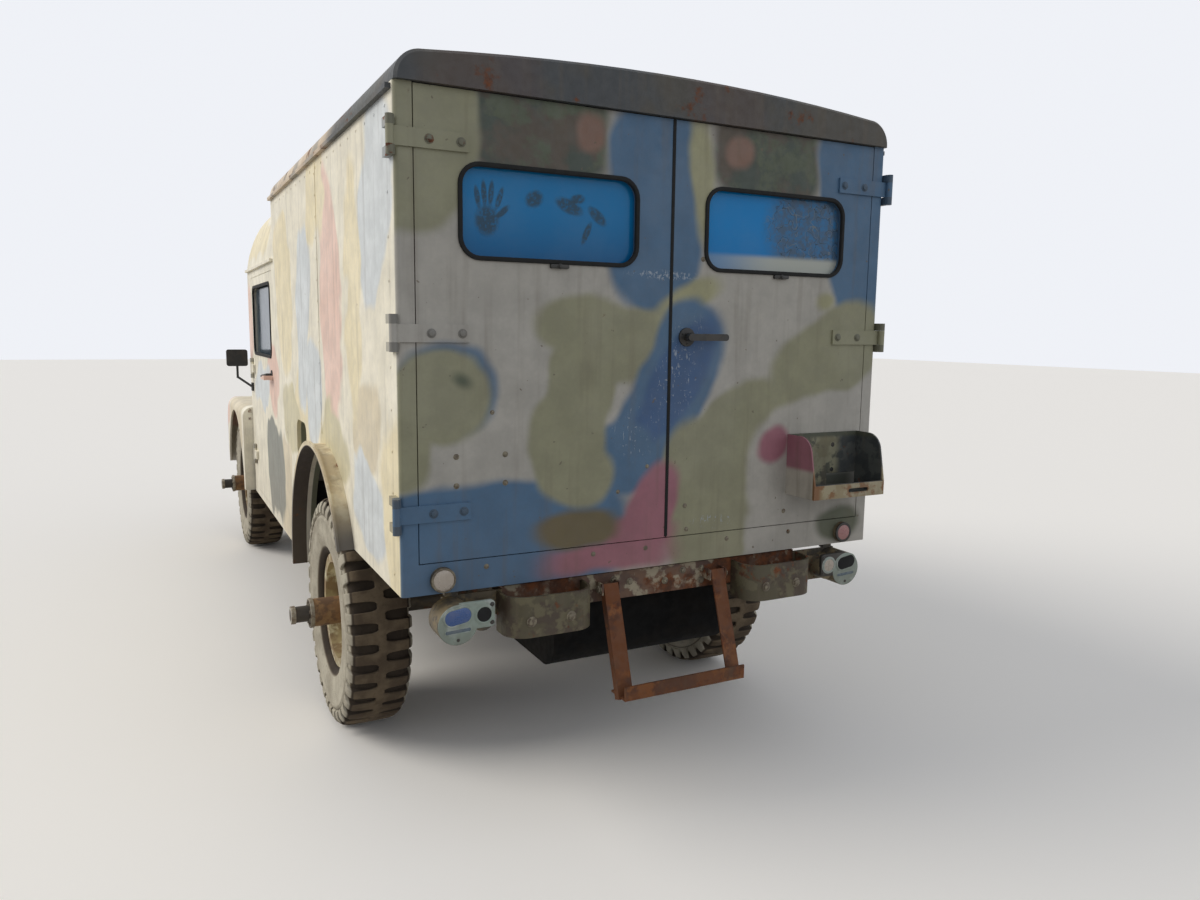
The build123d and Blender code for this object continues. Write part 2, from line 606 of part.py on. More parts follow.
def cab_section(inset):
    """Cab roof's cross section, whose flanks lean in towards the crown."""
    foot = BODY_HALF - inset
    flank = (CAB_SIDE_X - inset, CAB_SIDE_Z - inset / 3)
    shoulder = (CAB_SHOULDER_X - inset / 3, CAB_SHOULDER_Z - inset)
    lower = ((foot + flank[0]) / 2 + 9, (CAB_EAVE_Z + flank[1]) / 2)
    upper = ((flank[0] + shoulder[0]) / 2 + 15, (flank[1] + shoulder[1]) / 2 + 15)
    with BuildSketch(mode=Mode.PRIVATE) as section:
        with BuildLine():
            Line((-foot, CAB_EAVE_Z), (foot, CAB_EAVE_Z))
            ThreePointArc((foot, CAB_EAVE_Z), lower, flank)
            ThreePointArc(flank, upper, shoulder)
            ThreePointArc(shoulder, (0, CROWN_Z - inset), (-shoulder[0], shoulder[1]))
            ThreePointArc((-shoulder[0], shoulder[1]), (-upper[0], upper[1]), (-flank[0], flank[1]))
            ThreePointArc((-flank[0], flank[1]), (-lower[0], lower[1]), (-foot, CAB_EAVE_Z))
        make_face()
    return section.sketch


def cab_roof_form(inset):
    """Cab roof ahead of the load body, cut to its fall towards the windscreen."""
    with BuildPart(mode=Mode.PRIVATE) as form:
        with BuildSketch(across(BODY_END)):
            add(cab_section(inset))
        extrude(amount=-(CAB_FRONT - inset - BODY_END))
        with BuildSketch(along(-BODY_HALF)):
            with BuildLine():
                crown = (fwd(BODY_END), CROWN_Z - inset - BROW_START_DROP)
                foot = (fwd(CAB_FRONT - inset), BROW_FOOT_Z)
                brow = (fwd(BROW_Y - 0.6 * inset), BROW_Z - 0.8 * inset)
                fall = TangentArc(crown, brow, tangent=(1, 0))
                TangentArc(fall @ 1, foot, tangent=fall % 1)
                Polyline(foot, (foot[0], CAB_EAVE_Z), (crown[0], CAB_EAVE_Z), crown)
            make_face()
        extrude(amount=2 * BODY_HALF, mode=Mode.INTERSECT)
    return form.part


with BuildPart() as roof:
    with BuildSketch(across(-ROOF_CAP)):
        add(body_section(0))
    extrude(amount=-(BODY_END + ROOF_CAP))
    rim = edges().group_by(Axis.Y)[0].filter_by(lambda edge: edge.center().Z > EAVE_Z + 1)
    chamfer(rim, ROOF_EDGE)
    with BuildSketch(across(-ROOF_CAP + ROOF_THICK)):
        add(body_section(ROOF_THICK))
    extrude(amount=-(BODY_END - 2 * ROOF_THICK + ROOF_CAP), mode=Mode.SUBTRACT)
    with BuildSketch(across(BODY_END)):
        add(cab_section(ROOF_THICK + SEAM))
    extrude(amount=ROOF_THICK, mode=Mode.SUBTRACT)
    block(-BODY_HALF, BODY_HALF, POST_DEPTH, BODY_END - ROOF_THICK, CAB_EAVE_Z, EAVE_Z, mode=Mode.SUBTRACT)
    block(-BODY_HALF, BODY_HALF, -ROOF_CAP, POST_DEPTH, CAB_EAVE_Z, DOOR_TOP_Z, mode=Mode.SUBTRACT)
    for x0, x1 in ((INSIDE, BODY_HALF), (-BODY_HALF, -INSIDE)):
        block(x0, x1, BODY_END - ROOF_THICK, BODY_END, CAB_EAVE_Z, EAVE_Z, mode=Mode.SUBTRACT)
    for x0, x1 in ((BODY_HALF, BODY_HALF + GUTTER), (-BODY_HALF - GUTTER, -BODY_HALF)):
        block(x0, x1, 20, BODY_END, EAVE_Z, EAVE_Z + GUTTER_TALL)
keep(roof.part, "roof")

with BuildPart() as cab_roof:
    add(cab_roof_form(0))
    add(cab_roof_form(ROOF_THICK), mode=Mode.SUBTRACT)
    for x0, x1 in ((BODY_HALF - 8, BODY_HALF + GUTTER), (-BODY_HALF - GUTTER, -BODY_HALF + 8)):
        block(x0, x1, BODY_END, CAB_FRONT - 20, CAB_EAVE_Z, CAB_EAVE_Z + GUTTER_TALL)
keep(cab_roof.part, "cab_roof")

# Load floor on its cross sills, and the cab floor with the step up between them
with BuildPart() as floor:
    low = FLOOR_Z - FLOOR_THICK
    cab_low = CAB_FLOOR_Z - CAB_FLOOR_THICK
    riser = BODY_END + CAB_FLOOR_THICK
    block(-INSIDE, INSIDE, POST_DEPTH, riser, low, FLOOR_Z)
    for x0, x1 in ((HOUSING_IN, INSIDE), (-INSIDE, -HOUSING_IN)):
        block(x0, x1, ARCH_Y - HOUSING_R, ARCH_Y + HOUSING_R, low, FLOOR_Z, mode=Mode.SUBTRACT)
    for y in CROSS_MEMBERS[:3]:
        block(-HOUSING_IN + 20, HOUSING_IN - 20, y, y + CROSS_DEEP, RAIL_HIGH, low)
    block(-INSIDE, INSIDE, BODY_END, CAB_FRONT - FRONT_PANEL, cab_low, CAB_FLOOR_Z)
    block(-INSIDE, INSIDE, BODY_END, riser, cab_low, low)
keep(floor.part, "floor")

# Rear wheel housings: a rounded hood over each rear wheel, closed on its inner side
with BuildPart() as housings:
    outer_r = HOUSING_R + HOUSING_SKIN
    with BuildSketch(along(HOUSING_IN)):
        with Locations((fwd(ARCH_Y), ARCH_Z)):
            Circle(outer_r)
        with Locations((fwd(ARCH_Y), FLOOR_Z - outer_r)):
            Rectangle(2 * outer_r, 2 * outer_r, mode=Mode.SUBTRACT)
    extrude(amount=INSIDE - HOUSING_IN)
    with BuildSketch(along(HOUSING_IN + HOUSING_SKIN)):
        with Locations((fwd(ARCH_Y), ARCH_Z)):
            Circle(HOUSING_R)
    extrude(amount=INSIDE - HOUSING_IN, mode=Mode.SUBTRACT)
    mirror(about=Plane.YZ)
keep(housings.part, "wheel_housings")

# Flared bands round the rear wheel arches, turned outward at their lip
with BuildPart() as flares:
    with BuildSketch(Plane(origin=(0, fwd(ARCH_Y), ARCH_Z), x_dir=(1, 0, 0), z_dir=(0, -1, 0))):
        with BuildLine():
            inner = ARCH_RADIUS
            Polyline(
                (BODY_HALF, inner), (FLARE_OUT, inner), (FLARE_OUT, inner + FLARE_LIP),
                (FLARE_OUT - FLARE_THICK, inner + FLARE_LIP), (FLARE_OUT - FLARE_THICK, inner + FLARE_THICK),
                (BODY_HALF, inner + FLARE_THICK), close=True,
            )
        make_face()
    revolve(axis=Axis((0, fwd(ARCH_Y), ARCH_Z), (1, 0, 0)))
    block(BODY_HALF, FLARE_OUT, ARCH_Y - 2 * ARCH_RADIUS, ARCH_Y, -ARCH_RADIUS, SILL_Z, mode=Mode.SUBTRACT)
    block(BODY_HALF, FLARE_OUT, ARCH_Y, ARCH_Y + 2 * ARCH_RADIUS, -ARCH_RADIUS, SKIRT_Z, mode=Mode.SUBTRACT)
    mirror(about=Plane.YZ)
keep(flares.part, "arch_flares")

# Cab front: windscreen frame, fire wall and cowl
SCREEN_LOW = CAB_GLASS_LOW + 20
SCREEN_HIGH = CAB_EAVE_Z - 65
SCREEN_IN = 30.0
SCREEN_OUT = BODY_HALF - 85
SCREEN_R = 45.0
SCREENS = tuple((side * (SCREEN_IN + SCREEN_OUT) / 2, (SCREEN_LOW + SCREEN_HIGH) / 2) for side in (-1, 1))
COWL_LEAF = 22.0
COWL_NOSE_HALF = HOOD_HALF_REAR + 60
COWL_R = 40.0
LEAF_THICK = 9.0
with BuildPart() as cowl:
    with BuildSketch(across(CAB_FRONT - FRONT_PANEL)):
        foot = CAB_FLOOR_Z - CAB_FLOOR_THICK
        with Locations((0, (foot + CAB_EAVE_Z) / 2)):
            Rectangle(2 * BODY_HALF, CAB_EAVE_Z - foot)
        with Locations(*SCREENS):
            RectangleRounded(SCREEN_OUT - SCREEN_IN, SCREEN_HIGH - SCREEN_LOW, SCREEN_R, mode=Mode.SUBTRACT)
    extrude(amount=-FRONT_PANEL)
    with BuildSketch(level(FENDER_TOP)):
        with BuildLine():
            Polyline(
                (-BODY_HALF, fwd(CAB_FRONT)),
                (-COWL_NOSE_HALF, fwd(HOOD_REAR - 5)),
                (COWL_NOSE_HALF, fwd(HOOD_REAR - 5)),
                (BODY_HALF, fwd(CAB_FRONT)),
                close=True,
            )
        make_face()
    extrude(amount=HOOD_TOP_REAR - FENDER_TOP)
    fillet(edges().group_by(Axis.Y)[-1].filter_by(Axis.Z), COWL_R)
    for x in HOOD_HINGE_XS:
        for end in (-1, 1):
            inner = x + end * (HOOD_BARREL / 2 + FIT)
            outer = inner + end * COWL_LEAF
            x0, x1 = sorted((inner, outer))
            rod((x0, HOOD_HINGE_Y, HOOD_HINGE_Z), (x1, HOOD_HINGE_Y, HOOD_HINGE_Z), HOOD_BARREL_R)
            rear = HOOD_REAR - HOOD_LEAF_LONG
            block(x0, x1, rear, HOOD_HINGE_Y, HOOD_TOP_REAR - 4, HOOD_TOP_REAR - 4 + LEAF_THICK)
keep(cowl.part, "cowl")

with BuildPart() as windscreen:
    with BuildSketch(across(CAB_FRONT - FRONT_PANEL / 2 - GLASS / 2)):
        with Locations(*SCREENS):
            RectangleRounded(SCREEN_OUT - SCREEN_IN, SCREEN_HIGH - SCREEN_LOW, SCREEN_R)
    extrude(amount=-GLASS)
keep(windscreen.part, "windscreen_glass")


# Front fenders: rounded noses and outer edges, open below, with round wheel openings
def fender_form(inset, trim, trim_size):
    """Fender's outline shrunk by inset, its outer upper edge cut by trim, a fillet or a chamfer."""
    with BuildPart(mode=Mode.PRIVATE) as form:
        with BuildSketch(along(FENDER_IN + inset)):
            with BuildLine():
                rear = fwd(CAB_FRONT) + inset
                front = fwd(FENDER_FRONT) - inset
                top = FENDER_TOP - inset
                bend = FENDER_NOSE - inset
                low = FENDER_LOW - 2 * inset
                skirt = SKIRT_Z - 2 * inset
                Polyline(
                    (front, top - bend), (front, low), (front - FENDER_TUCK, skirt),
                    (rear, skirt), (rear, top), (front - bend, top),
                )
                CenterArc((front - bend, top - bend), bend, 0, 90)
            make_face()
        extrude(amount=FENDER_OUT - FENDER_IN - 2 * inset)
        outer = form.edges().group_by(Axis.X)[-1]
        crest = outer.filter_by(lambda edge: edge.center().Z > FENDER_LOW and edge.center().Y > rear + 1)
        trim(crest, trim_size)
    return form.part


with BuildPart() as fenders:
    add(fender_form(0, fillet, FENDER_ROUND))
    add(fender_form(FENDER_SKIN, chamfer, FENDER_ROUND - 2 * FENDER_SKIN), mode=Mode.SUBTRACT)
    with BuildSketch(along(FENDER_IN)):
        with Locations((fwd(FRONT_AXLE), AXLE_Z)):
            Circle(FENDER_ARCH)
    extrude(amount=FENDER_OUT, mode=Mode.SUBTRACT)
    block(
        FENDER_IN - 10, BODY_HALF - 100, CAB_FRONT - 10, FENDER_FRONT + 10,
        0, INNER_LOW, mode=Mode.SUBTRACT,
    )
    rod((LAMP_X, LAMP_Y - 80, LAMP_Z), (LAMP_X, FENDER_FRONT + 50, LAMP_Z), LAMP_R, mode=Mode.SUBTRACT)
    mirror(about=Plane.YZ)
keep(fenders.part, "front_fenders")

# Hood sides, which stand on the fenders under the hood's edge
with BuildPart() as hood_sides:
    with BuildSketch(level(FENDER_TOP)):
        with BuildLine():
            Polyline(
                (HOOD_HALF_REAR, fwd(HOOD_REAR)),
                (HOOD_HALF_FRONT, fwd(HOOD_FRONT)),
                (HOOD_HALF_FRONT - HOOD_SKIN, fwd(HOOD_FRONT)),
                (HOOD_HALF_REAR - HOOD_SKIN, fwd(HOOD_REAR)),
                close=True,
            )
        make_face()
        mirror(about=Plane.YZ)
    extrude(amount=HOOD_LOW - FENDER_TOP - SEAM)
keep(hood_sides.part, "hood_sides")


# Hood: lofted from a wide rear section to a narrow front one, hollow and open below, on two hinges
def hood_form(inset):
    with BuildPart(mode=Mode.PRIVATE) as form:
        for y, half, top in (
            (HOOD_REAR, HOOD_HALF_REAR, HOOD_TOP_REAR),
            (HOOD_FRONT, HOOD_HALF_FRONT, HOOD_TOP_FRONT),
        ):   # distance forward, half width, top height
            with BuildSketch(across(y)) as section:
                low = HOOD_LOW - 2 * inset
                with Locations((0, (low + top - inset) / 2)):
                    Rectangle(2 * (half - inset), top - inset - low)
                fillet(section.vertices().group_by(Axis.Y)[-1], HOOD_ROUND - inset)
        loft()
    return form.part


with BuildPart() as hood:
    add(hood_form(0))
    add(hood_form(HOOD_SKIN), mode=Mode.SUBTRACT)
    for x in HOOD_HINGE_XS:
        x0 = x - HOOD_BARREL / 2
        rod((x0, HOOD_HINGE_Y, HOOD_HINGE_Z), (x0 + HOOD_BARREL, HOOD_HINGE_Y, HOOD_HINGE_Z), HOOD_BARREL_R)
        foot = HOOD_TOP_REAR - 5
        block(x0, x0 + HOOD_BARREL, HOOD_HINGE_Y, HOOD_REAR + HOOD_LEAF_LONG, foot, foot + LEAF_THICK)
keep(hood.part, "hood")

# Front panel with upright slots
with BuildPart() as grille:
    with BuildSketch(across(HOOD_FRONT + SEAM)):
        with Locations((0, (GRILLE_LOW + HOOD_TOP_FRONT) / 2)):
            RectangleRounded(2 * HOOD_HALF_FRONT, HOOD_TOP_FRONT - GRILLE_LOW, HOOD_ROUND)
        with Locations((0, LAMP_Z + 85)):
            with GridLocations(SLOT_PITCH, 1, SLOT_COUNT, 1):
                SlotOverall(SLOT_TALL, SLOT_WIDE, rotation=90, mode=Mode.SUBTRACT)
    extrude(amount=-GRILLE_THICK)
keep(grille.part, "grille")

# Head lamps: a bowl with a bevelled rim, set in the nose of each fender
LAMP_BACK = 60.0             # bowl's back and front, from the lamp's line
LAMP_FACE = 44.0
BOWL_BEVEL = 40.0
RIM_BEVEL = 12.0
with BuildPart() as headlamps:
    rod((LAMP_X, LAMP_Y - LAMP_BACK, LAMP_Z), (LAMP_X, LAMP_Y + LAMP_FACE, LAMP_Z), LAMP_R)
    rims = edges().filter_by(GeomType.CIRCLE).sort_by(Axis.Y)
    chamfer(rims[0], BOWL_BEVEL)
    chamfer(rims[-1], RIM_BEVEL)
    mirror(about=Plane.YZ)
keep(headlamps.part, "head_lamps")

# Partition behind the cab, with its doorway
DOORWAY_HALF = 260.0
DOORWAY_HIGH = EAVE_Z - 180
PARTITION_THICK = 30.0
PARTITION_REAR = BODY_END - ROOF_THICK - PARTITION_THICK
with BuildPart() as partition:
    with BuildSketch(across(PARTITION_REAR)):
        with Locations((0, (FLOOR_Z + EAVE_Z) / 2)):
            Rectangle(2 * INSIDE, EAVE_Z - FLOOR_Z)
        with Locations((0, (FLOOR_Z + DOORWAY_HIGH) / 2)):
            Rectangle(2 * DOORWAY_HALF, DOORWAY_HIGH - FLOOR_Z, mode=Mode.SUBTRACT)
    extrude(amount=-PARTITION_THICK)
keep(partition.part, "partition")

# Benches along both sides of the load space, over the wheel housings
BENCH_IN = min(HOUSING_IN, INSIDE) - 260
BENCH_TOP = ARCH_Z + HOUSING_R + HOUSING_SKIN + 77
BENCH_THICK = 25.0
BENCH_FRONT_THICK = 20.0
BENCH_REAR = POST_DEPTH + 50
with BuildPart() as benches:
    low = BENCH_TOP - BENCH_THICK
    block(BENCH_IN, INSIDE, BENCH_REAR, PARTITION_REAR, low, BENCH_TOP)
    block(BENCH_IN, BENCH_IN + BENCH_FRONT_THICK, BENCH_REAR, PARTITION_REAR, FLOOR_Z, low)
    mirror(about=Plane.YZ)
keep(benches.part, "benches")

# Cab seats on their boxes, instrument panel, and steering wheel on its column
SEAT_X = INSIDE - 415
SEAT_Z = CAB_FLOOR_Z + 205
SEAT_REAR = BODY_END + 40
SEAT_HALF = 230.0
CUSHION_LONG = 510.0
CUSHION_TALL = 110.0
BACKREST_THICK = 90.0
BACKREST_TALL = 570.0
CUSHION_R = 25.0
BOX_HALF = 200.0
BOX_LONG = 450.0
with BuildPart() as seat_boxes:
    rear = SEAT_REAR + 60
    block(SEAT_X - BOX_HALF, SEAT_X + BOX_HALF, rear, rear + BOX_LONG, CAB_FLOOR_Z, SEAT_Z)
    mirror(about=Plane.YZ)
keep(seat_boxes.part, "seat_boxes")

with BuildPart() as seats:
    x0 = SEAT_X - SEAT_HALF
    x1 = SEAT_X + SEAT_HALF
    block(x0, x1, SEAT_REAR + 40, SEAT_REAR + 40 + CUSHION_LONG, SEAT_Z, SEAT_Z + CUSHION_TALL)
    block(x0, x1, SEAT_REAR, SEAT_REAR + BACKREST_THICK, SEAT_Z + 40, SEAT_Z + BACKREST_TALL)
    fillet(edges().filter_by(Axis.X).group_by(Axis.Z)[-1], CUSHION_R)
    fillet(edges().filter_by(Axis.X).group_by(Axis.Y)[-1], CUSHION_R)
    mirror(about=Plane.YZ)
keep(seats.part, "seats")

DASH_DEEP = 120.0
DASH_TALL = 200.0
DASH_R = 30.0
with BuildPart() as dashboard:
    front = CAB_FRONT - FRONT_PANEL
    high = SCREEN_LOW - 35
    block(-INSIDE, INSIDE, front - DASH_DEEP, front, high - DASH_TALL, high)
    fillet(edges().filter_by(Axis.X).group_by(Axis.Y)[0], DASH_R)
keep(dashboard.part, "dashboard")

STEERING_HUB = (-SEAT_X, CAB_FRONT - 380, CAB_FLOOR_Z + 515)     # across, distance forward, height
COLUMN_FOOT = (-SEAT_X, CAB_FRONT - 170, CAB_FLOOR_Z - 15)
COLUMN_R = 22.0
STEERING_R = 210.0
STEERING_RIM = 12.0          # half of the rim's section
SPOKE_WIDE = 22.0
SPOKE_THICK = 12.0
HORN_R = 45.0
with BuildPart() as steering_wheel:
    rod(COLUMN_FOOT, STEERING_HUB, COLUMN_R)
    below = (CAB_FLOOR_Z - 6 * COLUMN_R, CAB_FLOOR_Z)
    x0 = -SEAT_X - 2 * COLUMN_R
    x1 = -SEAT_X + 2 * COLUMN_R
    block(x0, x1, COLUMN_FOOT[1] - 4 * COLUMN_R, COLUMN_FOOT[1] + 4 * COLUMN_R, *below, mode=Mode.SUBTRACT)
    hub = Vector(STEERING_HUB[0], fwd(STEERING_HUB[1]), STEERING_HUB[2])
    lean = hub - Vector(COLUMN_FOOT[0], fwd(COLUMN_FOOT[1]), COLUMN_FOOT[2])
    wheel_plane = Plane(origin=hub, x_dir=(1, 0, 0), z_dir=lean)
    with BuildSketch(Plane(origin=hub, x_dir=(1, 0, 0), z_dir=wheel_plane.y_dir)):
        with Locations((STEERING_R, 0)):
            RegularPolygon(STEERING_RIM, 6)
    revolve(axis=Axis(hub, lean))
    with BuildSketch(wheel_plane):
        with PolarLocations(STEERING_R / 2, 3, start_angle=30):
            Rectangle(STEERING_R, SPOKE_WIDE)
        Circle(HORN_R)
    extrude(amount=SPOKE_THICK)
keep(steering_wheel.part, "steering_wheel")


# Cab doors with their windows. The left door is drawn, and the right one mirrored.
def cab_door():
    with BuildPart(mode=Mode.PRIVATE) as door:
        with BuildSketch(along(-BODY_HALF)):
            with Locations((fwd(DOOR_MID), (CAB_DOOR_LOW + CAB_DOOR_HIGH) / 2)):
                RectangleRounded(
                    CAB_DOOR_FRONT - CAB_DOOR_REAR - 2 * SEAM,
                    CAB_DOOR_HIGH - CAB_DOOR_LOW - 2 * SEAM,
                    CAB_DOOR_R - SEAM,
                )
            with Locations((fwd(DOOR_MID), (CAB_GLASS_LOW + CAB_GLASS_HIGH) / 2)):
                RectangleRounded(
                    CAB_DOOR_FRONT - CAB_DOOR_REAR - 2 * CAB_GLASS_SIDE,
                    CAB_GLASS_HIGH - CAB_GLASS_LOW, CAB_GLASS_R, mode=Mode.SUBTRACT,
                )
        extrude(amount=WALL)
        leaf = CAB_HINGE_X + CAB_LEAF_PROUD
        for z in CAB_HINGE_ZS:
            low = z - CAB_BARREL / 2
            high = low + CAB_BARREL
            rod((-CAB_HINGE_X, CAB_DOOR_FRONT, low), (-CAB_HINGE_X, CAB_DOOR_FRONT, high), BARREL_R)
            block(
                -leaf, -BODY_HALF, CAB_DOOR_FRONT - CAB_LEAF_LONG, CAB_DOOR_FRONT - SEAM - 1,
                z - CAB_LEAF_TALL / 2, z + CAB_LEAF_TALL / 2,
            )
        rear = CAB_DOOR_REAR + 80
        low = CAB_GRIP_Z - CAB_GRIP_TALL / 2
        high = CAB_GRIP_Z + CAB_GRIP_TALL / 2
        out = BODY_HALF + CAB_GRIP_OUT
        block(-out, -BODY_HALF, rear, rear + CAB_GRIP_TALL, low, high)
        block(-out, -out + CAB_GRIP_THICK, rear, rear + CAB_GRIP_LONG, low, high)
    return door.part


def cab_glass():
    with BuildPart(mode=Mode.PRIVATE) as pane:
        with BuildSketch(along(-BODY_HALF + WALL / 2 - GLASS / 2)):
            with Locations((fwd(DOOR_MID), (CAB_GLASS_LOW + CAB_GLASS_HIGH) / 2)):
                RectangleRounded(
                    CAB_DOOR_FRONT - CAB_DOOR_REAR - 2 * CAB_GLASS_SIDE,
                    CAB_GLASS_HIGH - CAB_GLASS_LOW, CAB_GLASS_R,
                )
        extrude(amount=GLASS)
    return pane.part


for side, name in ((1, "left"), (-1, "right")):
    for form, label in ((cab_door(), "cab_door"), (cab_glass(), "cab_door_glass")):
        with BuildPart() as piece:
            add(form if side == 1 else form.mirror(Plane.YZ))
        keep(piece.part, f"{label}_{name}")

# Mirrors on bent arms, from the front pillars
MIRROR_FOOT = (BODY_HALF + 8, CAB_FRONT - 115, 1170.0)      # across, distance forward, height
MIRROR_HEAD = (BODY_HALF + 87, CAB_FRONT - 70, 1350.0)
MIRROR_W = 124.0
MIRROR_H = 104.0
MIRROR_R = 14.0
MIRROR_THICK = 22.0
MIRROR_ARM_R = 7.0
MIRROR_PLATE = 50.0
with BuildPart() as mirrors:
    elbow = (MIRROR_HEAD[0], MIRROR_HEAD[1], MIRROR_FOOT[2] + 60)
    half = MIRROR_PLATE / 2
    block(
        BODY_HALF, MIRROR_FOOT[0] + 4, MIRROR_FOOT[1] - half, MIRROR_FOOT[1] + half,
        MIRROR_FOOT[2] - half, MIRROR_FOOT[2] + half,
    )
    rod(MIRROR_FOOT, elbow, MIRROR_ARM_R)
    rod((elbow[0], elbow[1], elbow[2] - MIRROR_ARM_R), MIRROR_HEAD, MIRROR_ARM_R)
    with BuildSketch(across(MIRROR_HEAD[1] - MIRROR_THICK / 2)):
        with Locations((MIRROR_HEAD[0], MIRROR_HEAD[2])):
            RectangleRounded(MIRROR_W, MIRROR_H, MIRROR_R)
    extrude(amount=-MIRROR_THICK)
    mirror(about=Plane.YZ)
keep(mirrors.part, "mirrors")


# Rear doors with hinge straps. The right door is drawn, and the left one mirrored.
def rear_door():
    with BuildPart(mode=Mode.PRIVATE) as door:
        with BuildSketch(across(0)):
            high = DOOR_TOP_Z - SEAM
            low = FLOOR_Z + SEAM
            wide = REAR_OPENING_HALF - 2 * SEAM
            with Locations((SEAM + wide / 2, (high + low) / 2)):
                Rectangle(wide, high - low)
            with Locations((REAR_GLASS_X, REAR_GLASS_Z)):
                RectangleRounded(REAR_GLASS_W, REAR_GLASS_H, REAR_GLASS_R, mode=Mode.SUBTRACT)
        extrude(amount=-WALL)
        for z in HINGE_ZS:
            low = z - STRAP_TALL / 2
            block(STRAP_END, HINGE_X, -STRAP_THICK, 0, low, low + STRAP_TALL)
            block(REAR_OPENING_HALF - 4, HINGE_X, -2, 0, low, low + STRAP_TALL, mode=Mode.SUBTRACT)
            rod((HINGE_X, HINGE_Y, low), (HINGE_X, HINGE_Y, low + STRAP_TALL), HINGE_R)
    return door.part


def rear_glass():
    with BuildPart(mode=Mode.PRIVATE) as pane:
        with BuildSketch(across(WALL / 2 - GLASS / 2)):
            with Locations((REAR_GLASS_X, REAR_GLASS_Z)):
                RectangleRounded(REAR_GLASS_W, REAR_GLASS_H, REAR_GLASS_R)
        extrude(amount=-GLASS)
    return pane.part


for side, name in ((1, "right"), (-1, "left")):
    for form, label in ((rear_door(), "rear_door"), (rear_glass(), "rear_door_glass")):
        with BuildPart() as piece:
            add(form if side == 1 else form.mirror(Plane.YZ))
        keep(piece.part, f"{label}_{name}")

# Fixed halves of the hinges, on the rear corner posts and the front pillars
with BuildPart() as hinges:
    for z in HINGE_ZS:
        for end in (-1, 1):
            inner = z + end * (STRAP_TALL / 2 + FIT)
            outer = inner + end * KNUCKLE
            rod((HINGE_X, HINGE_Y, inner), (HINGE_X, HINGE_Y, outer), HINGE_R)
            z0, z1 = sorted((inner, outer))
            block(BODY_HALF, HINGE_X + 4, HINGE_Y, POST_DEPTH - 10, z0, z1)
    for z in CAB_HINGE_ZS:
        for end in (-1, 1):
            inner = z + end * (CAB_BARREL / 2 + FIT)
            outer = inner + end * KNUCKLE
            rod((CAB_HINGE_X, CAB_DOOR_FRONT, inner), (CAB_HINGE_X, CAB_DOOR_FRONT, outer), BARREL_R)
            z0, z1 = sorted((inner, outer))
            block(BODY_HALF, CAB_HINGE_X + 4, CAB_DOOR_FRONT, CAB_DOOR_FRONT + CAB_LEAF_LONG / 2, z0, z1)
    mirror(about=Plane.YZ)
keep(hinges.part, "door_hinges")

# Door handle on the right rear door
HANDLE_X = 62.0
HANDLE_Z = HINGE_ZS[1] - 4
HANDLE_TIP = 192.0
HANDLE_TAIL = 24.0           # how far the lever reaches past its spindle
HANDLE_TALL = 22.0
HANDLE_THICK = 16.0
HANDLE_STAND = 36.0
HANDLE_SPINDLE_R = 13.0
with BuildPart() as handle:
    rod((HANDLE_X, 0, HANDLE_Z), (HANDLE_X, -HANDLE_STAND - 2, HANDLE_Z), HANDLE_SPINDLE_R)
    with BuildSketch(across(-HANDLE_STAND)):
        with Locations(((HANDLE_X - HANDLE_TAIL + HANDLE_TIP) / 2, HANDLE_Z)):
            SlotOverall(HANDLE_TIP - HANDLE_X + HANDLE_TAIL, HANDLE_TALL)
    extrude(amount=HANDLE_THICK)
keep(handle.part, "rear_door_handle")

# Can carrier on the right rear door: a tray with a slotted lip, between side plates with rounded corners
CARRIER_X1 = REAR_OPENING_HALF - 19
CARRIER_X0 = CARRIER_X1 - 315
CARRIER_LOW = FLOOR_Z + 112
CARRIER_TALL = 210.0
CARRIER_OUT = 150.0
CARRIER_TOP_OUT = 118.0      # how far the side plates stand out at their upper end
CARRIER_R = 62.0
CARRIER_LIP = 48.0
CARRIER_SKIN = 6.0
CARRIER_BACK = STRAP_THICK + 1
with BuildPart() as carrier:
    high = CARRIER_LOW + CARRIER_TALL
    with BuildSketch(along(CARRIER_X0)) as profile:
        with BuildLine():
            Polyline(
                (fwd(0), CARRIER_LOW),
                (fwd(-CARRIER_OUT), CARRIER_LOW),
                (fwd(-CARRIER_OUT), CARRIER_LOW + CARRIER_LIP),
                (fwd(-CARRIER_TOP_OUT), high),
                (fwd(0), high),
                close=True,
            )
        make_face()
        fillet(profile.vertices().group_by(Axis.Y)[-1].sort_by(Axis.X)[0], CARRIER_R)
    extrude(amount=CARRIER_X1 - CARRIER_X0)
    inner = (CARRIER_X0 + CARRIER_SKIN, CARRIER_X1 - CARRIER_SKIN)
    lip = -CARRIER_OUT + CARRIER_SKIN
    block(*inner, lip, -CARRIER_BACK, CARRIER_LOW + CARRIER_SKIN, high + 10, mode=Mode.SUBTRACT)
    block(*inner, -CARRIER_OUT, lip, CARRIER_LOW + CARRIER_LIP, high, mode=Mode.SUBTRACT)
    strap_low = HINGE_ZS[0] - STRAP_TALL / 2 - 1
    strap_high = strap_low + STRAP_TALL + 2
    block(STRAP_END - 1, CARRIER_X1 + 1, -CARRIER_BACK, 0, strap_low, strap_high, mode=Mode.SUBTRACT)
    with BuildSketch(across(-CARRIER_OUT)):
        with Locations(((CARRIER_X0 + CARRIER_X1) / 2 + 40, CARRIER_LOW + CARRIER_LIP / 2)):
            SlotOverall(90, 14)
    extrude(amount=-CARRIER_SKIN, mode=Mode.SUBTRACT)
keep(carrier.part, "can_carrier")

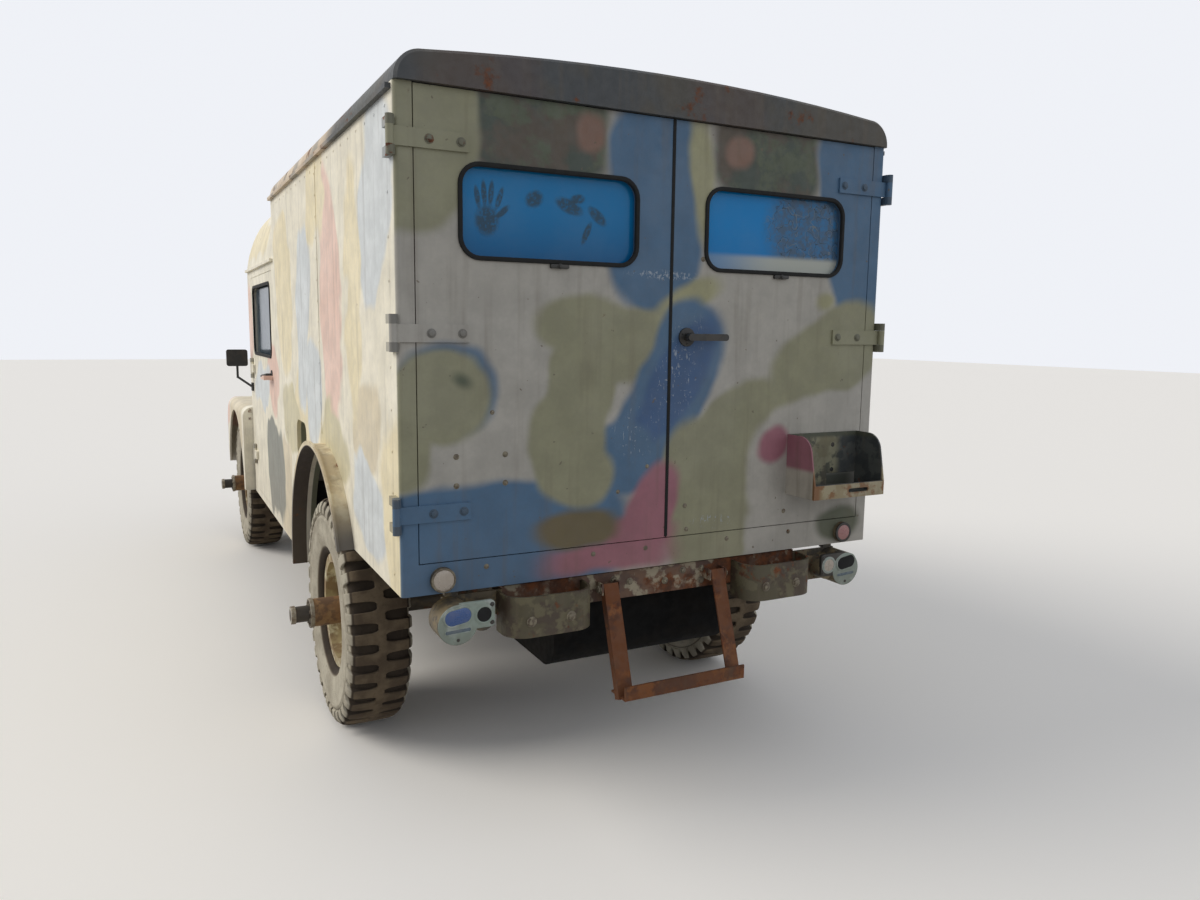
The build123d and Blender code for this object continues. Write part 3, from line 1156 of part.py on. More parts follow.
# Tail lamps on their brackets at the ends of the rear cross member, and the round reflectors on the sill
TAIL_X = BODY_HALF - 146
TAIL_Z = SILL_Z - 81
TAIL_R = 60.0
TAIL_FACE = -60.0
SMALL_SHIFT = 79.0
SMALL_R = 36.0
SMALL_RISE = 5.0
SMALL_FACE = TAIL_FACE + 8
LAMP_PLATE_THICK = 8.0
LAMP_PLATE_HALF = 44.0
REFLECTOR_X = BODY_HALF - 120
REFLECTOR_Z = (SILL_Z + FLOOR_Z) / 2 - 3.5
REFLECTOR_R = 37.0
REFLECTOR_DEEP = 12.0
with BuildPart() as tail_lamps:
    small_x = TAIL_X - SMALL_SHIFT
    small_z = TAIL_Z + SMALL_RISE
    for side in (-1, 1):
        x = side * REFLECTOR_X
        rod((x, 0, REFLECTOR_Z), (x, -REFLECTOR_DEEP, REFLECTOR_Z), REFLECTOR_R)
        rod((side * TAIL_X, TAIL_FACE, TAIL_Z), (side * TAIL_X, REAR_CROSS_FACE, TAIL_Z), TAIL_R)
        rod((side * small_x, SMALL_FACE, small_z), (side * small_x, REAR_CROSS_FACE, small_z), SMALL_R)
        x0, x1 = sorted((side * (small_x - 45), side * (TAIL_X + 20)))
        block(x0, x1, 4, 4 + LAMP_PLATE_THICK, TAIL_Z - LAMP_PLATE_HALF, TAIL_Z + LAMP_PLATE_HALF)
        x0, x1 = sorted((side * REAR_CROSS_HALF, side * (TAIL_X + 20)))
        block(x0, x1, REAR_CROSS_FACE, REAR_CROSS_FACE + LAMP_PLATE_THICK, TAIL_Z - 15, SILL_Z - 20)
        x0, x1 = sorted((side * (TAIL_X - 30), side * (TAIL_X + 10)))
        block(x0, x1, REAR_CROSS_FACE, REAR_CROSS_FACE + 20, SILL_Z - 20, SILL_Z)
keep(tail_lamps.part, "tail_lamps")

# Rear step: two angle-section legs on short pins, and a lipped tread between their lower ends
with BuildPart() as step:
    slope = math.atan2(STEP_BACK, STEP_DROP)
    length = math.hypot(STEP_BACK, STEP_DROP) + STEP_LEG_TALL
    down = (0, -math.sin(slope), -math.cos(slope))
    top = Vector(0, fwd(STEP_PIVOT_Y), STEP_PIVOT_Z)
    middle = (length - STEP_LEG_TALL) / 2
    pin_reach = EAR_GAP + STEP_SHEET
    for side in (-1, 1):
        inner, outer = sorted((side * (STEP_HALF - STEP_LEG), side * STEP_HALF))
        with BuildSketch(Plane(origin=top + Vector(inner, 0, 0), x_dir=down, z_dir=(1, 0, 0))):
            with Locations((middle, (STEP_SHEET - STEP_LEG_TALL) / 2)):
                Rectangle(length, STEP_SHEET)
        extrude(amount=STEP_LEG)
        edge = inner if side < 0 else outer - STEP_SHEET
        with BuildSketch(Plane(origin=top + Vector(edge, 0, 0), x_dir=down, z_dir=(1, 0, 0))):
            with Locations((middle, 0)):
                Rectangle(length, STEP_LEG_TALL)
        extrude(amount=STEP_SHEET)
        rod(
            (inner - pin_reach, STEP_PIVOT_Y, STEP_PIVOT_Z), (outer + pin_reach, STEP_PIVOT_Y, STEP_PIVOT_Z),
            STEP_PIN_R,
        )
    foot_z = STEP_PIVOT_Z - STEP_DROP
    rear = STEP_PIVOT_Y - STEP_BACK - STEP_TREAD / 2
    half = STEP_HALF - STEP_SHEET
    block(-half, half, rear, rear + STEP_TREAD, foot_z - STEP_SHEET, foot_z)
    block(-half, half, rear, rear + STEP_SHEET, foot_z - STEP_SHEET, foot_z - STEP_SHEET + STEP_LIP)
keep(step.part, "rear_step")


# Wheels, drawn about their own centre with +X outward, then placed
TYRE_ROOT = TYRE_RADIUS - LUG_DEEP
LUG_END = TYRE_WIDTH / 2 - 16        # outer end of a lug, from the tyre's centre plane
SHOULDER_DROP = 85.0                 # radius lost from the tread's edge to the side wall's widest part
BEAD_HALF = RIM_HALF - RIM_SHEET


def tyre_form():
    """Carcass with a flat facet for each lug, and two rows of bar lugs, the rows half a pitch apart."""
    half = TYRE_WIDTH / 2
    with BuildPart(mode=Mode.PRIVATE) as tyre:
        with BuildSketch(Plane.YZ.offset(-half)):
            RegularPolygon(TYRE_ROOT, LUG_COUNT)
        extrude(amount=TYRE_WIDTH)
        for end in (faces().sort_by(Axis.X)[0], faces().sort_by(Axis.X)[-1]):
            chamfer(end.edges(), SHOULDER_DROP, half - LUG_END, reference=end)
        for side, turn in ((1, 0), (-1, 180 / LUG_COUNT)):
            with BuildSketch(Plane.YZ.offset(side * LUG_CENTRE)):
                RegularPolygon(TYRE_ROOT, LUG_COUNT)
                with PolarLocations(TYRE_ROOT, LUG_COUNT, start_angle=turn):
                    Rectangle(2 * LUG_DEEP - 2, LUG_LONG)
            extrude(amount=side * (LUG_END - LUG_CENTRE))
        for side in (-1, 1):
            with BuildSketch(Plane.YZ.offset(side * BEAD_HALF)):
                RegularPolygon(RIM_R + RIM_FLANGE + 3, LUG_COUNT)
            extrude(amount=side * half, mode=Mode.SUBTRACT)
        with BuildSketch(Plane.YZ.offset(-half)):
            RegularPolygon(RIM_R + FIT, LUG_COUNT // 2, major_radius=False)
        extrude(amount=TYRE_WIDTH, mode=Mode.SUBTRACT)
    return tyre.part


def wheel_form():
    """Dished disc wheel with its hub and drive cap, bored for the spindle."""
    flange = RIM_R + RIM_FLANGE
    barrel = RIM_R - 16
    back = DISC_X - 8
    with BuildPart(mode=Mode.PRIVATE) as wheel:
        with BuildSketch(Plane.XZ):
            with BuildLine():
                Polyline(
                    (-RIM_HALF, flange), (-RIM_HALF, barrel), (back, barrel), (back, SPINDLE_R + FIT),
                    (HUB_FACE + 5, SPINDLE_R + FIT), (HUB_FACE + 5, 0), (CAP_OUT, 0), (CAP_OUT, CAP_R),
                    (HUB_OUT, CAP_R), (HUB_OUT, HUB_R), (DISC_X + 30, HUB_R), (DISC_X, HAND_HOLE_CIRCLE - 38),
                    (DISC_X, barrel), (RIM_HALF, barrel), (RIM_HALF, flange),
                    (BEAD_HALF, flange), (BEAD_HALF, RIM_R), (-BEAD_HALF, RIM_R), (-BEAD_HALF, flange),
                    close=True,
                )
            make_face()
        revolve(axis=Axis.X)
        with BuildSketch(Plane.YZ.offset(back)):
            with PolarLocations(HAND_HOLE_CIRCLE, HAND_HOLES):
                Circle(HAND_HOLE_R)
        extrude(amount=DISC_X - back, mode=Mode.SUBTRACT)
    return wheel.part


tyre = tyre_form()
wheel = wheel_form()
for name, side, y in (
    ("front_left", -1, FRONT_AXLE), ("front_right", 1, FRONT_AXLE),
    ("rear_left", -1, REAR_AXLE), ("rear_right", 1, REAR_AXLE),
):   # name, side, distance forward
    centre = Location((side * TRACK / 2, fwd(y), AXLE_Z))
    for form, label in ((tyre, "tyre"), (wheel, "wheel")):
        with BuildPart() as piece:
            add((form if side == 1 else form.mirror(Plane.YZ)).moved(centre))
        keep(piece.part, f"{label}_{name}")


# Steering knuckles: ears over and under the ball, brake plate, spindle and steering arm
EAR_LOW = BALL_R + 4
ARM_Z = AXLE_Z - EAR_LOW - EAR_THICK
BRAKE_PLATE_X = TRACK / 2 - 52


def knuckle_form():
    """Right knuckle, with its ears' bores open for the kingpin."""
    y = FRONT_AXLE
    with BuildPart(mode=Mode.PRIVATE) as knuckle:
        rod((BRAKE_PLATE_X, y, AXLE_Z), (BRAKE_PLATE_X + PLATE_THICK, y, AXLE_Z), DRUM_R)
        for end in (-1, 1):
            z0, z1 = sorted((AXLE_Z + end * EAR_LOW, AXLE_Z + end * (EAR_LOW + EAR_THICK)))
            block(KINGPIN_X - EAR_HALF, BRAKE_PLATE_X, y - EAR_HALF, y + EAR_HALF, z0, z1)
            rod((KINGPIN_X, y, z0 - 1), (KINGPIN_X, y, z1 + 1), KINGPIN_R + FIT, mode=Mode.SUBTRACT)
        rod((BRAKE_PLATE_X, y, AXLE_Z), (TRACK / 2 + HUB_FACE, y, AXLE_Z), SPINDLE_R)
        half = ARM_THICK * 0.7
        block(KINGPIN_X - half, KINGPIN_X + half, y - ARM_BACK - half, y - EAR_HALF, ARM_Z, ARM_Z + ARM_THICK)
    return knuckle.part


for side, name in ((1, "right"), (-1, "left")):
    with BuildPart() as piece:
        add(knuckle_form() if side == 1 else knuckle_form().mirror(Plane.YZ))
    keep(piece.part, f"knuckle_{name}")

# Tie rod between the ends of the steering arms
with BuildPart() as tie_rod:
    y = FRONT_AXLE - ARM_BACK
    rod((-KINGPIN_X, y, TIE_Z), (KINGPIN_X, y, TIE_Z), TIE_R)
    for x in (-KINGPIN_X, KINGPIN_X):
        rod((x, y, TIE_Z - TIE_R - 3), (x, y, ARM_Z - FIT), TIE_R + 3)
keep(tie_rod.part, "tie_rod")

boxes = [piece.bounding_box() for piece in made.values()]
print(len(made), "pieces")
print("low", [round(min(tuple(b.min)[i] for b in boxes), 1) for i in range(3)])
print("high", [round(max(tuple(b.max)[i] for b in boxes), 1) for i in range(3)])
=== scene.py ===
"""Looks of a military ambulance truck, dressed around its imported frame.

Metres. +Y is forward, +X is the truck's right, +Z is up, as in the frame. Places along the truck are
often given as distances forward of the rear doors' outer face, and REAR_FACE turns them into Y.
"""
import math

import bmesh
import bpy
from mathutils import Matrix, Vector


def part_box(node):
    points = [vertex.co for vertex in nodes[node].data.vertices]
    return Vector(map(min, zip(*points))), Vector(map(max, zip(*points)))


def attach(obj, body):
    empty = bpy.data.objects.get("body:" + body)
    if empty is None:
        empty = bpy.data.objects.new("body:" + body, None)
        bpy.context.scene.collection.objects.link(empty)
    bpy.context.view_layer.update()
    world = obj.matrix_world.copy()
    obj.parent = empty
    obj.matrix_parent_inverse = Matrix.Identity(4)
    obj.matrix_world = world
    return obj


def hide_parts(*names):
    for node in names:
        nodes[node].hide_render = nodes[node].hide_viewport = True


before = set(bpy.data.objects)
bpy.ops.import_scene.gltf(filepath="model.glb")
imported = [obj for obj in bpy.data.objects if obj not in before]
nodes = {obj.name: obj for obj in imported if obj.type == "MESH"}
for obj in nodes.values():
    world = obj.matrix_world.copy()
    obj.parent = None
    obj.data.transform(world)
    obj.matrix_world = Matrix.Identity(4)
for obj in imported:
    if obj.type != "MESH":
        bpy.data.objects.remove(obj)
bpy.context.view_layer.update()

# Driving places of the truck
REAR_FACE = -2.43
BODY_HALF = 0.875
INSIDE = 0.857               # across: nearer the middle than this is the inner side of a wall
WHEEL_MIDDLE = 0.7875        # across: the middle of each tyre
AXLE_UP = 0.445
REAR_AXLE = REAR_FACE + 1.05
FRONT_AXLE = REAR_FACE + 4.25
REAR_SILL = 0.787
SHADE_SHEET_FROM = 0.642           # across: the inner edge of the near-black sheets round the rear wheels, which are painted shade
ARCH = {"y": REAR_AXLE + 0.068, "up": 0.548, "radius": 0.54, "floor": 0.878, "skirt": 0.49}


# Paints
def swatch(paint):
    """Linear colour of a paint. Paints are written as they look, 0 to 255 a channel."""
    return tuple(((channel / 255 + 0.055) / 1.055) ** 2.4 for channel in paint) + (1.0,)


# The rear's paints are written somewhat darker than the paint itself, as the rear stands in shade: partly
# painted shade
CREAM = (174, 171, 163)
OLIVE = (143, 142, 116)
YELLOW = (160, 158, 124)
BLUE = (74, 106, 136)
DEEP_BLUE = (54, 88, 130)
BROWN = (60, 70, 62)
OCHRE = (80, 72, 62)
CLAY = (126, 98, 84)
MOSS = (80, 88, 70)
LOW_BROWN = (98, 88, 62)
# Painted shade: the dark behind the can carrier's tray
TRAY_SHADE = (62, 66, 58)
PINK = (152, 100, 112)
# The sides' paints are the same camouflage written much lighter, as in full sun: painted light
SUN_CREAM = (246, 240, 220)
SUN_YELLOW = (244, 232, 196)
SUN_PINK = (240, 208, 192)
SUN_BLUE = (222, 228, 230)
SUN_OLIVE = (216, 208, 174)
SUN_KHAKI = (226, 214, 186)
SUN_GREY = (140, 142, 134)
DUST = (150, 134, 110)
SOIL = (96, 84, 68)
RUST = (122, 70, 38)
DARK_RUST = (74, 44, 30)
INNER_GREEN = (108, 112, 92)
INNER_COATS = (INNER_GREEN, (120, 122, 100), (96, 100, 84))

# Brown bands over the two rear windows: across, up, half_wide, half_tall, tilt, square
TOP_BANDS = (
    (-0.44, 2.115, 0.215, 0.13, 0, 5),
    (0.365, 2.115, 0.212, 0.124, 0, 5),
)

# Patches of the rear's camouflage, painted in this order over cream. Metres; tilt in degrees, anticlockwise
# seen from behind; square is 2 for an ellipse and more for a boxier patch.
REAR_PATCHES = (
    # paint, across, up, half_wide, half_tall, tilt, square
    (OLIVE, -0.87, 2.08, 0.235, 0.27, 0, 2.6),
    (BLUE, -0.06, 1.93, 0.165, 0.3, 0, 4),
    (BLUE, -0.03, 1.71, 0.12, 0.11, 0, 2.4),
    (YELLOW, 0.112, 2.03, 0.046, 0.19, 7, 3),
    (CLAY, -0.285, 2.125, 0.05, 0.055, 0, 2.2),
    (CLAY, 0.255, 2.12, 0.055, 0.05, 0, 2.2),
    (BLUE, 0.79, 1.96, 0.19, 0.4, 10, 3),
    (OLIVE, -0.32, 1.575, 0.15, 0.085, 0, 2.4),
    (OLIVE, -0.18, 1.51, 0.19, 0.12, 0, 2.6),
    (YELLOW, 0.07, 1.65, 0.13, 0.048, 28, 2.2),
    (BLUE, 0.07, 1.53, 0.13, 0.11, 60, 2.2),
    (BLUE, -0.01, 1.33, 0.13, 0.33, -35, 2.3),
    (DEEP_BLUE, 0.03, 1.39, 0.085, 0.25, -35, 2),
    (BLUE, -0.16, 1.15, 0.11, 0.12, 0, 2.2),
    (OLIVE, -0.31, 1.4, 0.115, 0.18, -8, 2.2),
    (OLIVE, -0.355, 1.22, 0.135, 0.15, 0, 2.2),
    (BLUE, -0.58, 0.92, 0.44, 0.185, 0, 3.6),
    (OLIVE, -0.33, 1.12, 0.135, 0.11, -30, 2.2),
    (BLUE, -0.74, 1.372, 0.152, 0.14, 0, 2.2),
    (OLIVE, -0.755, 1.354, 0.15, 0.142, 0, 2.2),
    (MOSS, -0.69, 1.405, 0.03, 0.018, -30, 2),
    (OLIVE, -0.87, 1.2, 0.09, 0.11, 0, 2.2),
    (OLIVE, 0.17, 1.01, 0.19, 0.27, 0, 2.8),
    (OLIVE, 0.29, 1.22, 0.22, 0.15, 30, 2.2),
    (OLIVE, 0.66, 1.46, 0.27, 0.15, 30, 2.6),
    (YELLOW, 0.63, 1.655, 0.04, 0.03, 0, 2),
    (CREAM, 0.72, 1.07, 0.4, 0.275, 0, 2.6),
    (CREAM, 0.36, 0.86, 0.05, 0.09, 0, 2),
    (PINK, 0.43, 1.17, 0.065, 0.06, 20, 2),
    (PINK, -0.055, 0.975, 0.09, 0.16, -24, 2),
    (PINK, -0.105, 0.905, 0.15, 0.05, 0, 2.4),
    (PINK, -0.2, 0.835, 0.225, 0.046, 0, 4),
    (LOW_BROWN, -0.32, 0.935, 0.14, 0.06, 0, 2.4),
    # Painted shade behind the can carrier's tray
    (TRAY_SHADE, 0.705, 1.022, 0.095, 0.03, 0, 6),
    (MOSS, 0.74, 0.865, 0.095, 0.065, 0, 2.2),
)

# Patches of the sides, over pale cream, in paints written much lighter as in full sun (painted light): along
# is the distance forward of the rear face
SIDE_PATCHES = (
    # paint, along, up, half_long, half_tall, tilt, square
    # The first row, a pale blue band at the upper rear corner, is partly paint and partly a painted shadow of
    # branches
    (SUN_BLUE, 0.24, 1.9, 0.21, 0.3, 24, 2.4),
    (SUN_KHAKI, 0.4, 1.24, 0.2, 0.15, 0, 2.2),
    (SUN_BLUE, 0.4, 0.97, 0.24, 0.17, 16, 2.4),
    (SUN_YELLOW, 0.07, 1.02, 0.15, 0.26, 0, 2.4),
    (SUN_YELLOW, 0.57, 1.66, 0.11, 0.42, 0, 2.6),
    (SUN_PINK, 0.95, 1.64, 0.215, 0.47, -6, 2.2),
    (SUN_OLIVE, 0.96, 1.12, 0.24, 0.15, 8, 2.2),
    (SUN_YELLOW, 1.66, 1.2, 0.17, 0.2, 0, 2.4),
    (SUN_BLUE, 1.36, 1.28, 0.16, 0.2, 0, 2.2),
    (SUN_BLUE, 1.56, 1.62, 0.17, 0.4, 14, 2.2),
    (SUN_YELLOW, 1.22, 2.06, 0.2, 0.2, 0, 2.4),
    (SUN_YELLOW, 2.14, 1.72, 0.26, 0.4, -10, 2.2),
    (SUN_OLIVE, 1.96, 1.1, 0.3, 0.17, 12, 2.2),
    (SUN_KHAKI, 2.24, 0.75, 0.26, 0.26, 0, 2.4),
    (SUN_PINK, 2.6, 1.28, 0.24, 0.15, 20, 2.2),
    (SUN_BLUE, 3.1, 1.22, 0.38, 0.12, -8, 2.2),
    (SUN_GREY, 2.62, 0.8, 0.38, 0.28, 8, 2.2),
    (SUN_YELLOW, 3.2, 2.05, 0.44, 0.14, 0, 2.4),
    (SUN_PINK, 3.62, 1.62, 0.13, 0.26, 0, 2.2),
    (SUN_KHAKI, 4.15, 0.95, 0.42, 0.22, 10, 2.2),
    (SUN_BLUE, 3.95, 1.34, 0.26, 0.22, 30, 2.2),
    (SUN_OLIVE, 4.5, 1.4, 0.3, 0.3, -20, 2.2),
    (SUN_PINK, 4.85, 0.95, 0.24, 0.15, 0, 2.2),
)

# The weather group's inputs besides the colour, in the order of the paints' table
WEATHERING = ("Fade", "Streaks", "Rust", "Rust Scale", "Dust", "Dust Top", "Roughness")

# Where the doors are handled and knocked: across, up, half_wide, half_tall, tilt, how dense the marks are
KNOCKS = (
    (0.04, 1.43, 0.07, 0.16, -20, 0.05),
    (-0.12, 1.24, 0.07, 0.09, 0, 0.03),
    (-0.02, 1.72, 0.12, 0.012, 0, 0.12),
    (0.19, 0.915, 0.07, 0.022, 0, 0.07),
)
SPRAY_EDGE = 0.016           # width over which one paint fades into the next
HUB_FROM = 0.85              # across: where a wheel's painted disc gives way to its hub
HUB_END = 0.966              # across: where the hub ends and its bare cap begins
CAP_END = 1.02               # across: the cap's end, with its bright ring, a painted highlight
DOORWAY_DEPTH = 0.03         # behind this depth a rear door shows its inner paint


# Shader nodes, written as arithmetic
class Wire:
    """One output of a shader node. Arithmetic on it adds Math nodes to its tree."""

    def __init__(self, tree, socket):
        self.tree = tree
        self.socket = socket

    def maths(self, operation, other=0.0):
        return node(self.tree, "Math", {0: self, 1: other}, operation=operation)[0]

    def behind(self, operation, other):
        return node(self.tree, "Math", {0: other, 1: self}, operation=operation)[0]

    __add__ = lambda self, other: self.maths("ADD", other)
    __sub__ = lambda self, other: self.maths("SUBTRACT", other)
    __mul__ = lambda self, other: self.maths("MULTIPLY", other)
    __truediv__ = lambda self, other: self.maths("DIVIDE", other)
    __pow__ = lambda self, other: self.maths("POWER", other)
    __rsub__ = lambda self, other: self.behind("SUBTRACT", other)
    __rtruediv__ = lambda self, other: self.behind("DIVIDE", other)
    __abs__ = lambda self: self.maths("ABSOLUTE")
    sine = lambda self: self.maths("SINE")

    def step(self, low, high, to_low=0.0, to_high=1.0):
        """Smooth step of a value from low to high."""
        places = {"Value": self, "From Min": low, "From Max": high, "To Min": to_low, "To Max": to_high}
        return node(self.tree, "MapRange", places, interpolation_type="SMOOTHSTEP")[0]

    def noise(self, scale, detail=3.0, roughness=0.55, give="Fac"):
        values = {"Vector": self, "Scale": scale, "Detail": detail, "Roughness": roughness}
        return node(self.tree, "TexNoise", values)[give]

    def axes(self):
        """The X, Y and Z of a place."""
        split = node(self.tree, "SeparateXYZ", {0: self})
        return split["X"], split["Y"], split["Z"]


def join(tree, made, values):
    """Links each wire to the node's input of that name or number, and sets the plain values there."""
    for socket, value in dict(values).items():
        if isinstance(value, Wire):
            tree.links.new(value.socket, made.inputs[socket])
        else:
            made.inputs[socket].default_value = value


def node(tree, kind, values=(), **settings):
    """A new shader node's outputs, by name and by number."""
    made = tree.nodes.new(kind if kind.startswith("NodeGroup") else "ShaderNode" + kind)
    for name, value in settings.items():
        setattr(made, name, value)
    join(tree, made, values)
    wires = [Wire(tree, socket) for socket in made.outputs]
    return {**{wire.socket.name: wire for wire in wires}, **dict(enumerate(wires))}


def blend(factor, first, second, way="MIX"):
    """A mix of two colours. Each is a wire or a paint, and a paint is turned into its linear colour."""
    tree = next(part.tree for part in (factor, first, second) if isinstance(part, Wire))
    first, second = (part if isinstance(part, Wire) else swatch(part) for part in (first, second))
    return node(tree, "Mix", {0: factor, 6: first, 7: second}, data_type="RGBA", blend_type=way)[2]


def layered(colour, *coats):
    """A colour with more coats over it, each a mask and a colour."""
    for mask, coat in coats:
        colour = blend(mask, colour, coat)
    return colour


def blend_value(factor, first, second):
    return node(factor.tree, "Mix", {0: factor, 2: first, 3: second}, data_type="FLOAT")[0]


def place_in(tree):
    """Object coordinates as a wire."""
    return node(tree, "TexCoord")["Object"]


def use_group(tree, group, values=()):
    return node(tree, "Group", values, node_tree=group)


def new_group(name, inputs, outputs):
    """An empty node group: its tree and its inputs. Their first values say which of them are colours."""
    tree = bpy.data.node_groups.new(name, "ShaderNodeTree")
    for label, value in inputs.items():
        paint = isinstance(value, tuple)
        kind = "NodeSocketColor" if paint else "NodeSocketFloat"
        socket = tree.interface.new_socket(label, in_out="INPUT", socket_type=kind)
        socket.default_value = swatch(value) if paint else value
    for label in outputs:
        kind = "NodeSocketColor" if label == "Color" else "NodeSocketFloat"
        tree.interface.new_socket(label, in_out="OUTPUT", socket_type=kind)
    return tree, node(tree, "NodeGroupInput")


# Effects that several materials share, as node groups
def make_place_group():
    """Object place with a waver, split into across, along (from the rear face) and up."""
    tree, given = new_group("wavering_place", {"Waver": 0.03, "Scale": 3.5}, ("Across", "Along", "Up"))
    place = place_in(tree)
    field = place.noise(given["Scale"], 2.0, give="Color")
    centred = node(tree, "VectorMath", {0: field, 1: (0.5, 0.5, 0.5)}, operation="SUBTRACT")[0]
    push = node(tree, "VectorMath", {0: centred, 3: given["Waver"]}, operation="SCALE")[0]
    across, along, up = node(tree, "VectorMath", {0: place, 1: push}, operation="ADD")[0].axes()
    node(tree, "NodeGroupOutput", {"Across": across, "Along": along - REAR_FACE, "Up": up})
    return tree


def make_patch_group():
    """Mask of one sprayed patch: 1 inside a tilted superellipse, 0 outside."""
    tree, given = new_group("sprayed_patch", {
        "Across": 0.0, "Up": 0.0, "Centre Across": 0.0, "Centre Up": 0.0, "Half Wide": 0.1, "Half Tall": 0.1,
        "Tilt": 0.0, "Square": 2.0, "Edge": 0.1}, ("Mask",))
    across = given["Across"] - given["Centre Across"]
    up = given["Up"] - given["Centre Up"]
    cosine, sine = given["Tilt"].maths("COSINE"), given["Tilt"].sine()
    wide = abs((across * cosine + up * sine) / given["Half Wide"]) ** given["Square"]
    tall = abs((up * cosine - across * sine) / given["Half Tall"]) ** given["Square"]
    reach = (wide + tall) ** (1.0 / given["Square"])
    edge = given["Edge"]
    node(tree, "NodeGroupOutput", {"Mask": reach.step(edge + 1.0, 1.0 - edge)})
    return tree


def patch_mask(across, up, at_across, at_up, half_wide, half_tall, tilt=0, square=2.0, edge=0.1):
    """Mask of a patch. Its tilt is in degrees, and square is 2 for an ellipse and more for a boxier patch."""
    return use_group(across.tree, PATCH, {
        "Across": across, "Up": up, "Centre Across": at_across, "Centre Up": at_up, "Half Wide": half_wide,
        "Half Tall": half_tall, "Tilt": math.radians(tilt), "Square": square, "Edge": edge})["Mask"]


def make_camouflage_group(name, base, patches):
    """Colour of one face of the camouflage, from a table of patches laid over a base."""
    tree, given = new_group(name, {"Base": base, "Across": 0.0, "Up": 0.0}, ("Color",))
    colour = given["Base"]
    for paint, *patch in patches:
        edge = SPRAY_EDGE / min(patch[2:4])
        colour = blend(patch_mask(given["Across"], given["Up"], *patch, edge=edge), colour, paint)
    node(tree, "NodeGroupOutput", {"Color": colour})
    return tree


def make_weather_group():
    """Old paint out of doors: fading, rain streaks, rust that breaks through, dust from below and dents."""
    inputs = {"Color": CREAM, **{label: 0.0 for label in WEATHERING}}
    tree, given = new_group("weather", inputs, ("Color", "Roughness", "Height"))
    place = place_in(tree)
    broad = place.noise(2.3, 4.0)
    fine = place.noise(38.0, 5.0, 0.65)
    rain = node(tree, "Mapping", {"Vector": place, "Scale": (26.0, 26.0, 1.6)})[0].noise(1.0)

    faded = node(tree, "HueSaturation", {"Saturation": 0.72, "Value": 1.16, "Color": given["Color"]})[0]
    colour = blend(broad.step(0.4, 0.66) * given["Fade"], given["Color"], faded)
    mottle = fine.step(0.3, 0.72, 0.94, 1.03) * place.noise(9.0, 4.0, 0.6).step(0.34, 0.66, 0.9, 1.05)
    grey = node(tree, "CombineXYZ", {0: mottle, 1: mottle, 2: mottle})[0]
    colour = blend(1.0, colour, grey, "MULTIPLY")
    colour = blend(rain.step(0.52, 0.74) * given["Streaks"], colour, SOIL)

    spots = place.noise(given["Rust Scale"], 6.0, 0.62)
    start = given["Rust"] * -0.42 + 0.78
    rusty = (broad * 0.35 + spots * 0.75).step(start, start + 0.07) * given["Rust"].step(0.0, 0.02)
    colour = blend(rusty, colour, blend(fine.step(0.35, 0.65), DARK_RUST, RUST))

    top = given["Dust Top"]
    settled = place.axes()[2].step(top, top - 0.7) * broad.step(0.3, 0.7, 0.5, 1.0) * given["Dust"]
    colour = blend(settled, colour, DUST)
    rough = given["Roughness"] + fine.step(0.3, 0.7, -0.06, 0.1)
    rough = blend_value(settled, blend_value(rusty, rough, 0.92), 0.95)
    height = place.noise(3.6, 1.0) * 4.0 + fine * 0.04 - rusty * 0.12
    node(tree, "NodeGroupOutput", {"Color": colour, "Roughness": rough, "Height": height})
    return tree


def make_knocks_group():
    """Pale scratches and small dark chips, gathered where the doors are handled and knocked."""
    tree, given = new_group("knocks", {"Color": CREAM, "Across": 0.0, "Up": 0.0}, ("Color",))
    place = place_in(tree)
    crumbs = place.noise(70.0, 4.0, 0.7)
    drawn = node(tree, "Mapping", {"Vector": place, "Rotation": (0, 0.56, 0), "Scale": (170, 20, 34)})[0]
    scratches = drawn.noise(1.0)
    pale = crumbs * 0.0
    for *patch, dense in KNOCKS:
        mask = patch_mask(given["Across"], given["Up"], *patch, edge=0.4)
        scratched = scratches.step(0.7 - dense, 0.74 - dense)
        broken = crumbs.step(0.66 - dense, 0.7 - dense).maths("MAXIMUM", scratched)
        pale = pale.maths("MAXIMUM", mask * broken)
    colour = blend(pale * 0.75, given["Color"], (168, 178, 190))
    specks = place.noise(46.0, 2.0, 0.5).step(0.735, 0.755)
    node(tree, "NodeGroupOutput", {"Color": blend(specks * 0.7, colour, SOIL)})
    return tree


PLACE = make_place_group()
PATCH = make_patch_group()
CHIPS = make_knocks_group()
WEATHER = make_weather_group()
REAR_CAMOUFLAGE = make_camouflage_group("rear_camouflage", CREAM, REAR_PATCHES)
SIDE_CAMOUFLAGE = make_camouflage_group("side_camouflage", SUN_CREAM, SIDE_PATCHES)


# Clean colours of the paints: each gives a wire in the tree it is called with
def mixed(first, second, third, scale=5.0, soft=0.05):
    """Three old coats of paint that show through one another in patches."""
    def colour_of(tree):
        place = place_in(tree)
        upper = place.noise(scale, 4.0).step(0.5 - soft, 0.5 + soft)
        lower = place.noise(scale * 1.7, 5.0, 0.6).step(0.55 - soft, 0.55 + soft)
        return blend(lower, blend(upper, first, second), third)
    return colour_of


def with_inside(outside, axis, edge, sign):
    """Outer colour, with the inner paint where the place on that axis is past the edge."""
    def colour_of(tree):
        place = place_in(tree).axes()["XYZ".index(axis)]
        place = abs(place) if axis == "X" else place
        return blend(place.step(edge - 0.002 * sign, edge + 0.002 * sign), outside(tree), INNER_GREEN)
    return colour_of


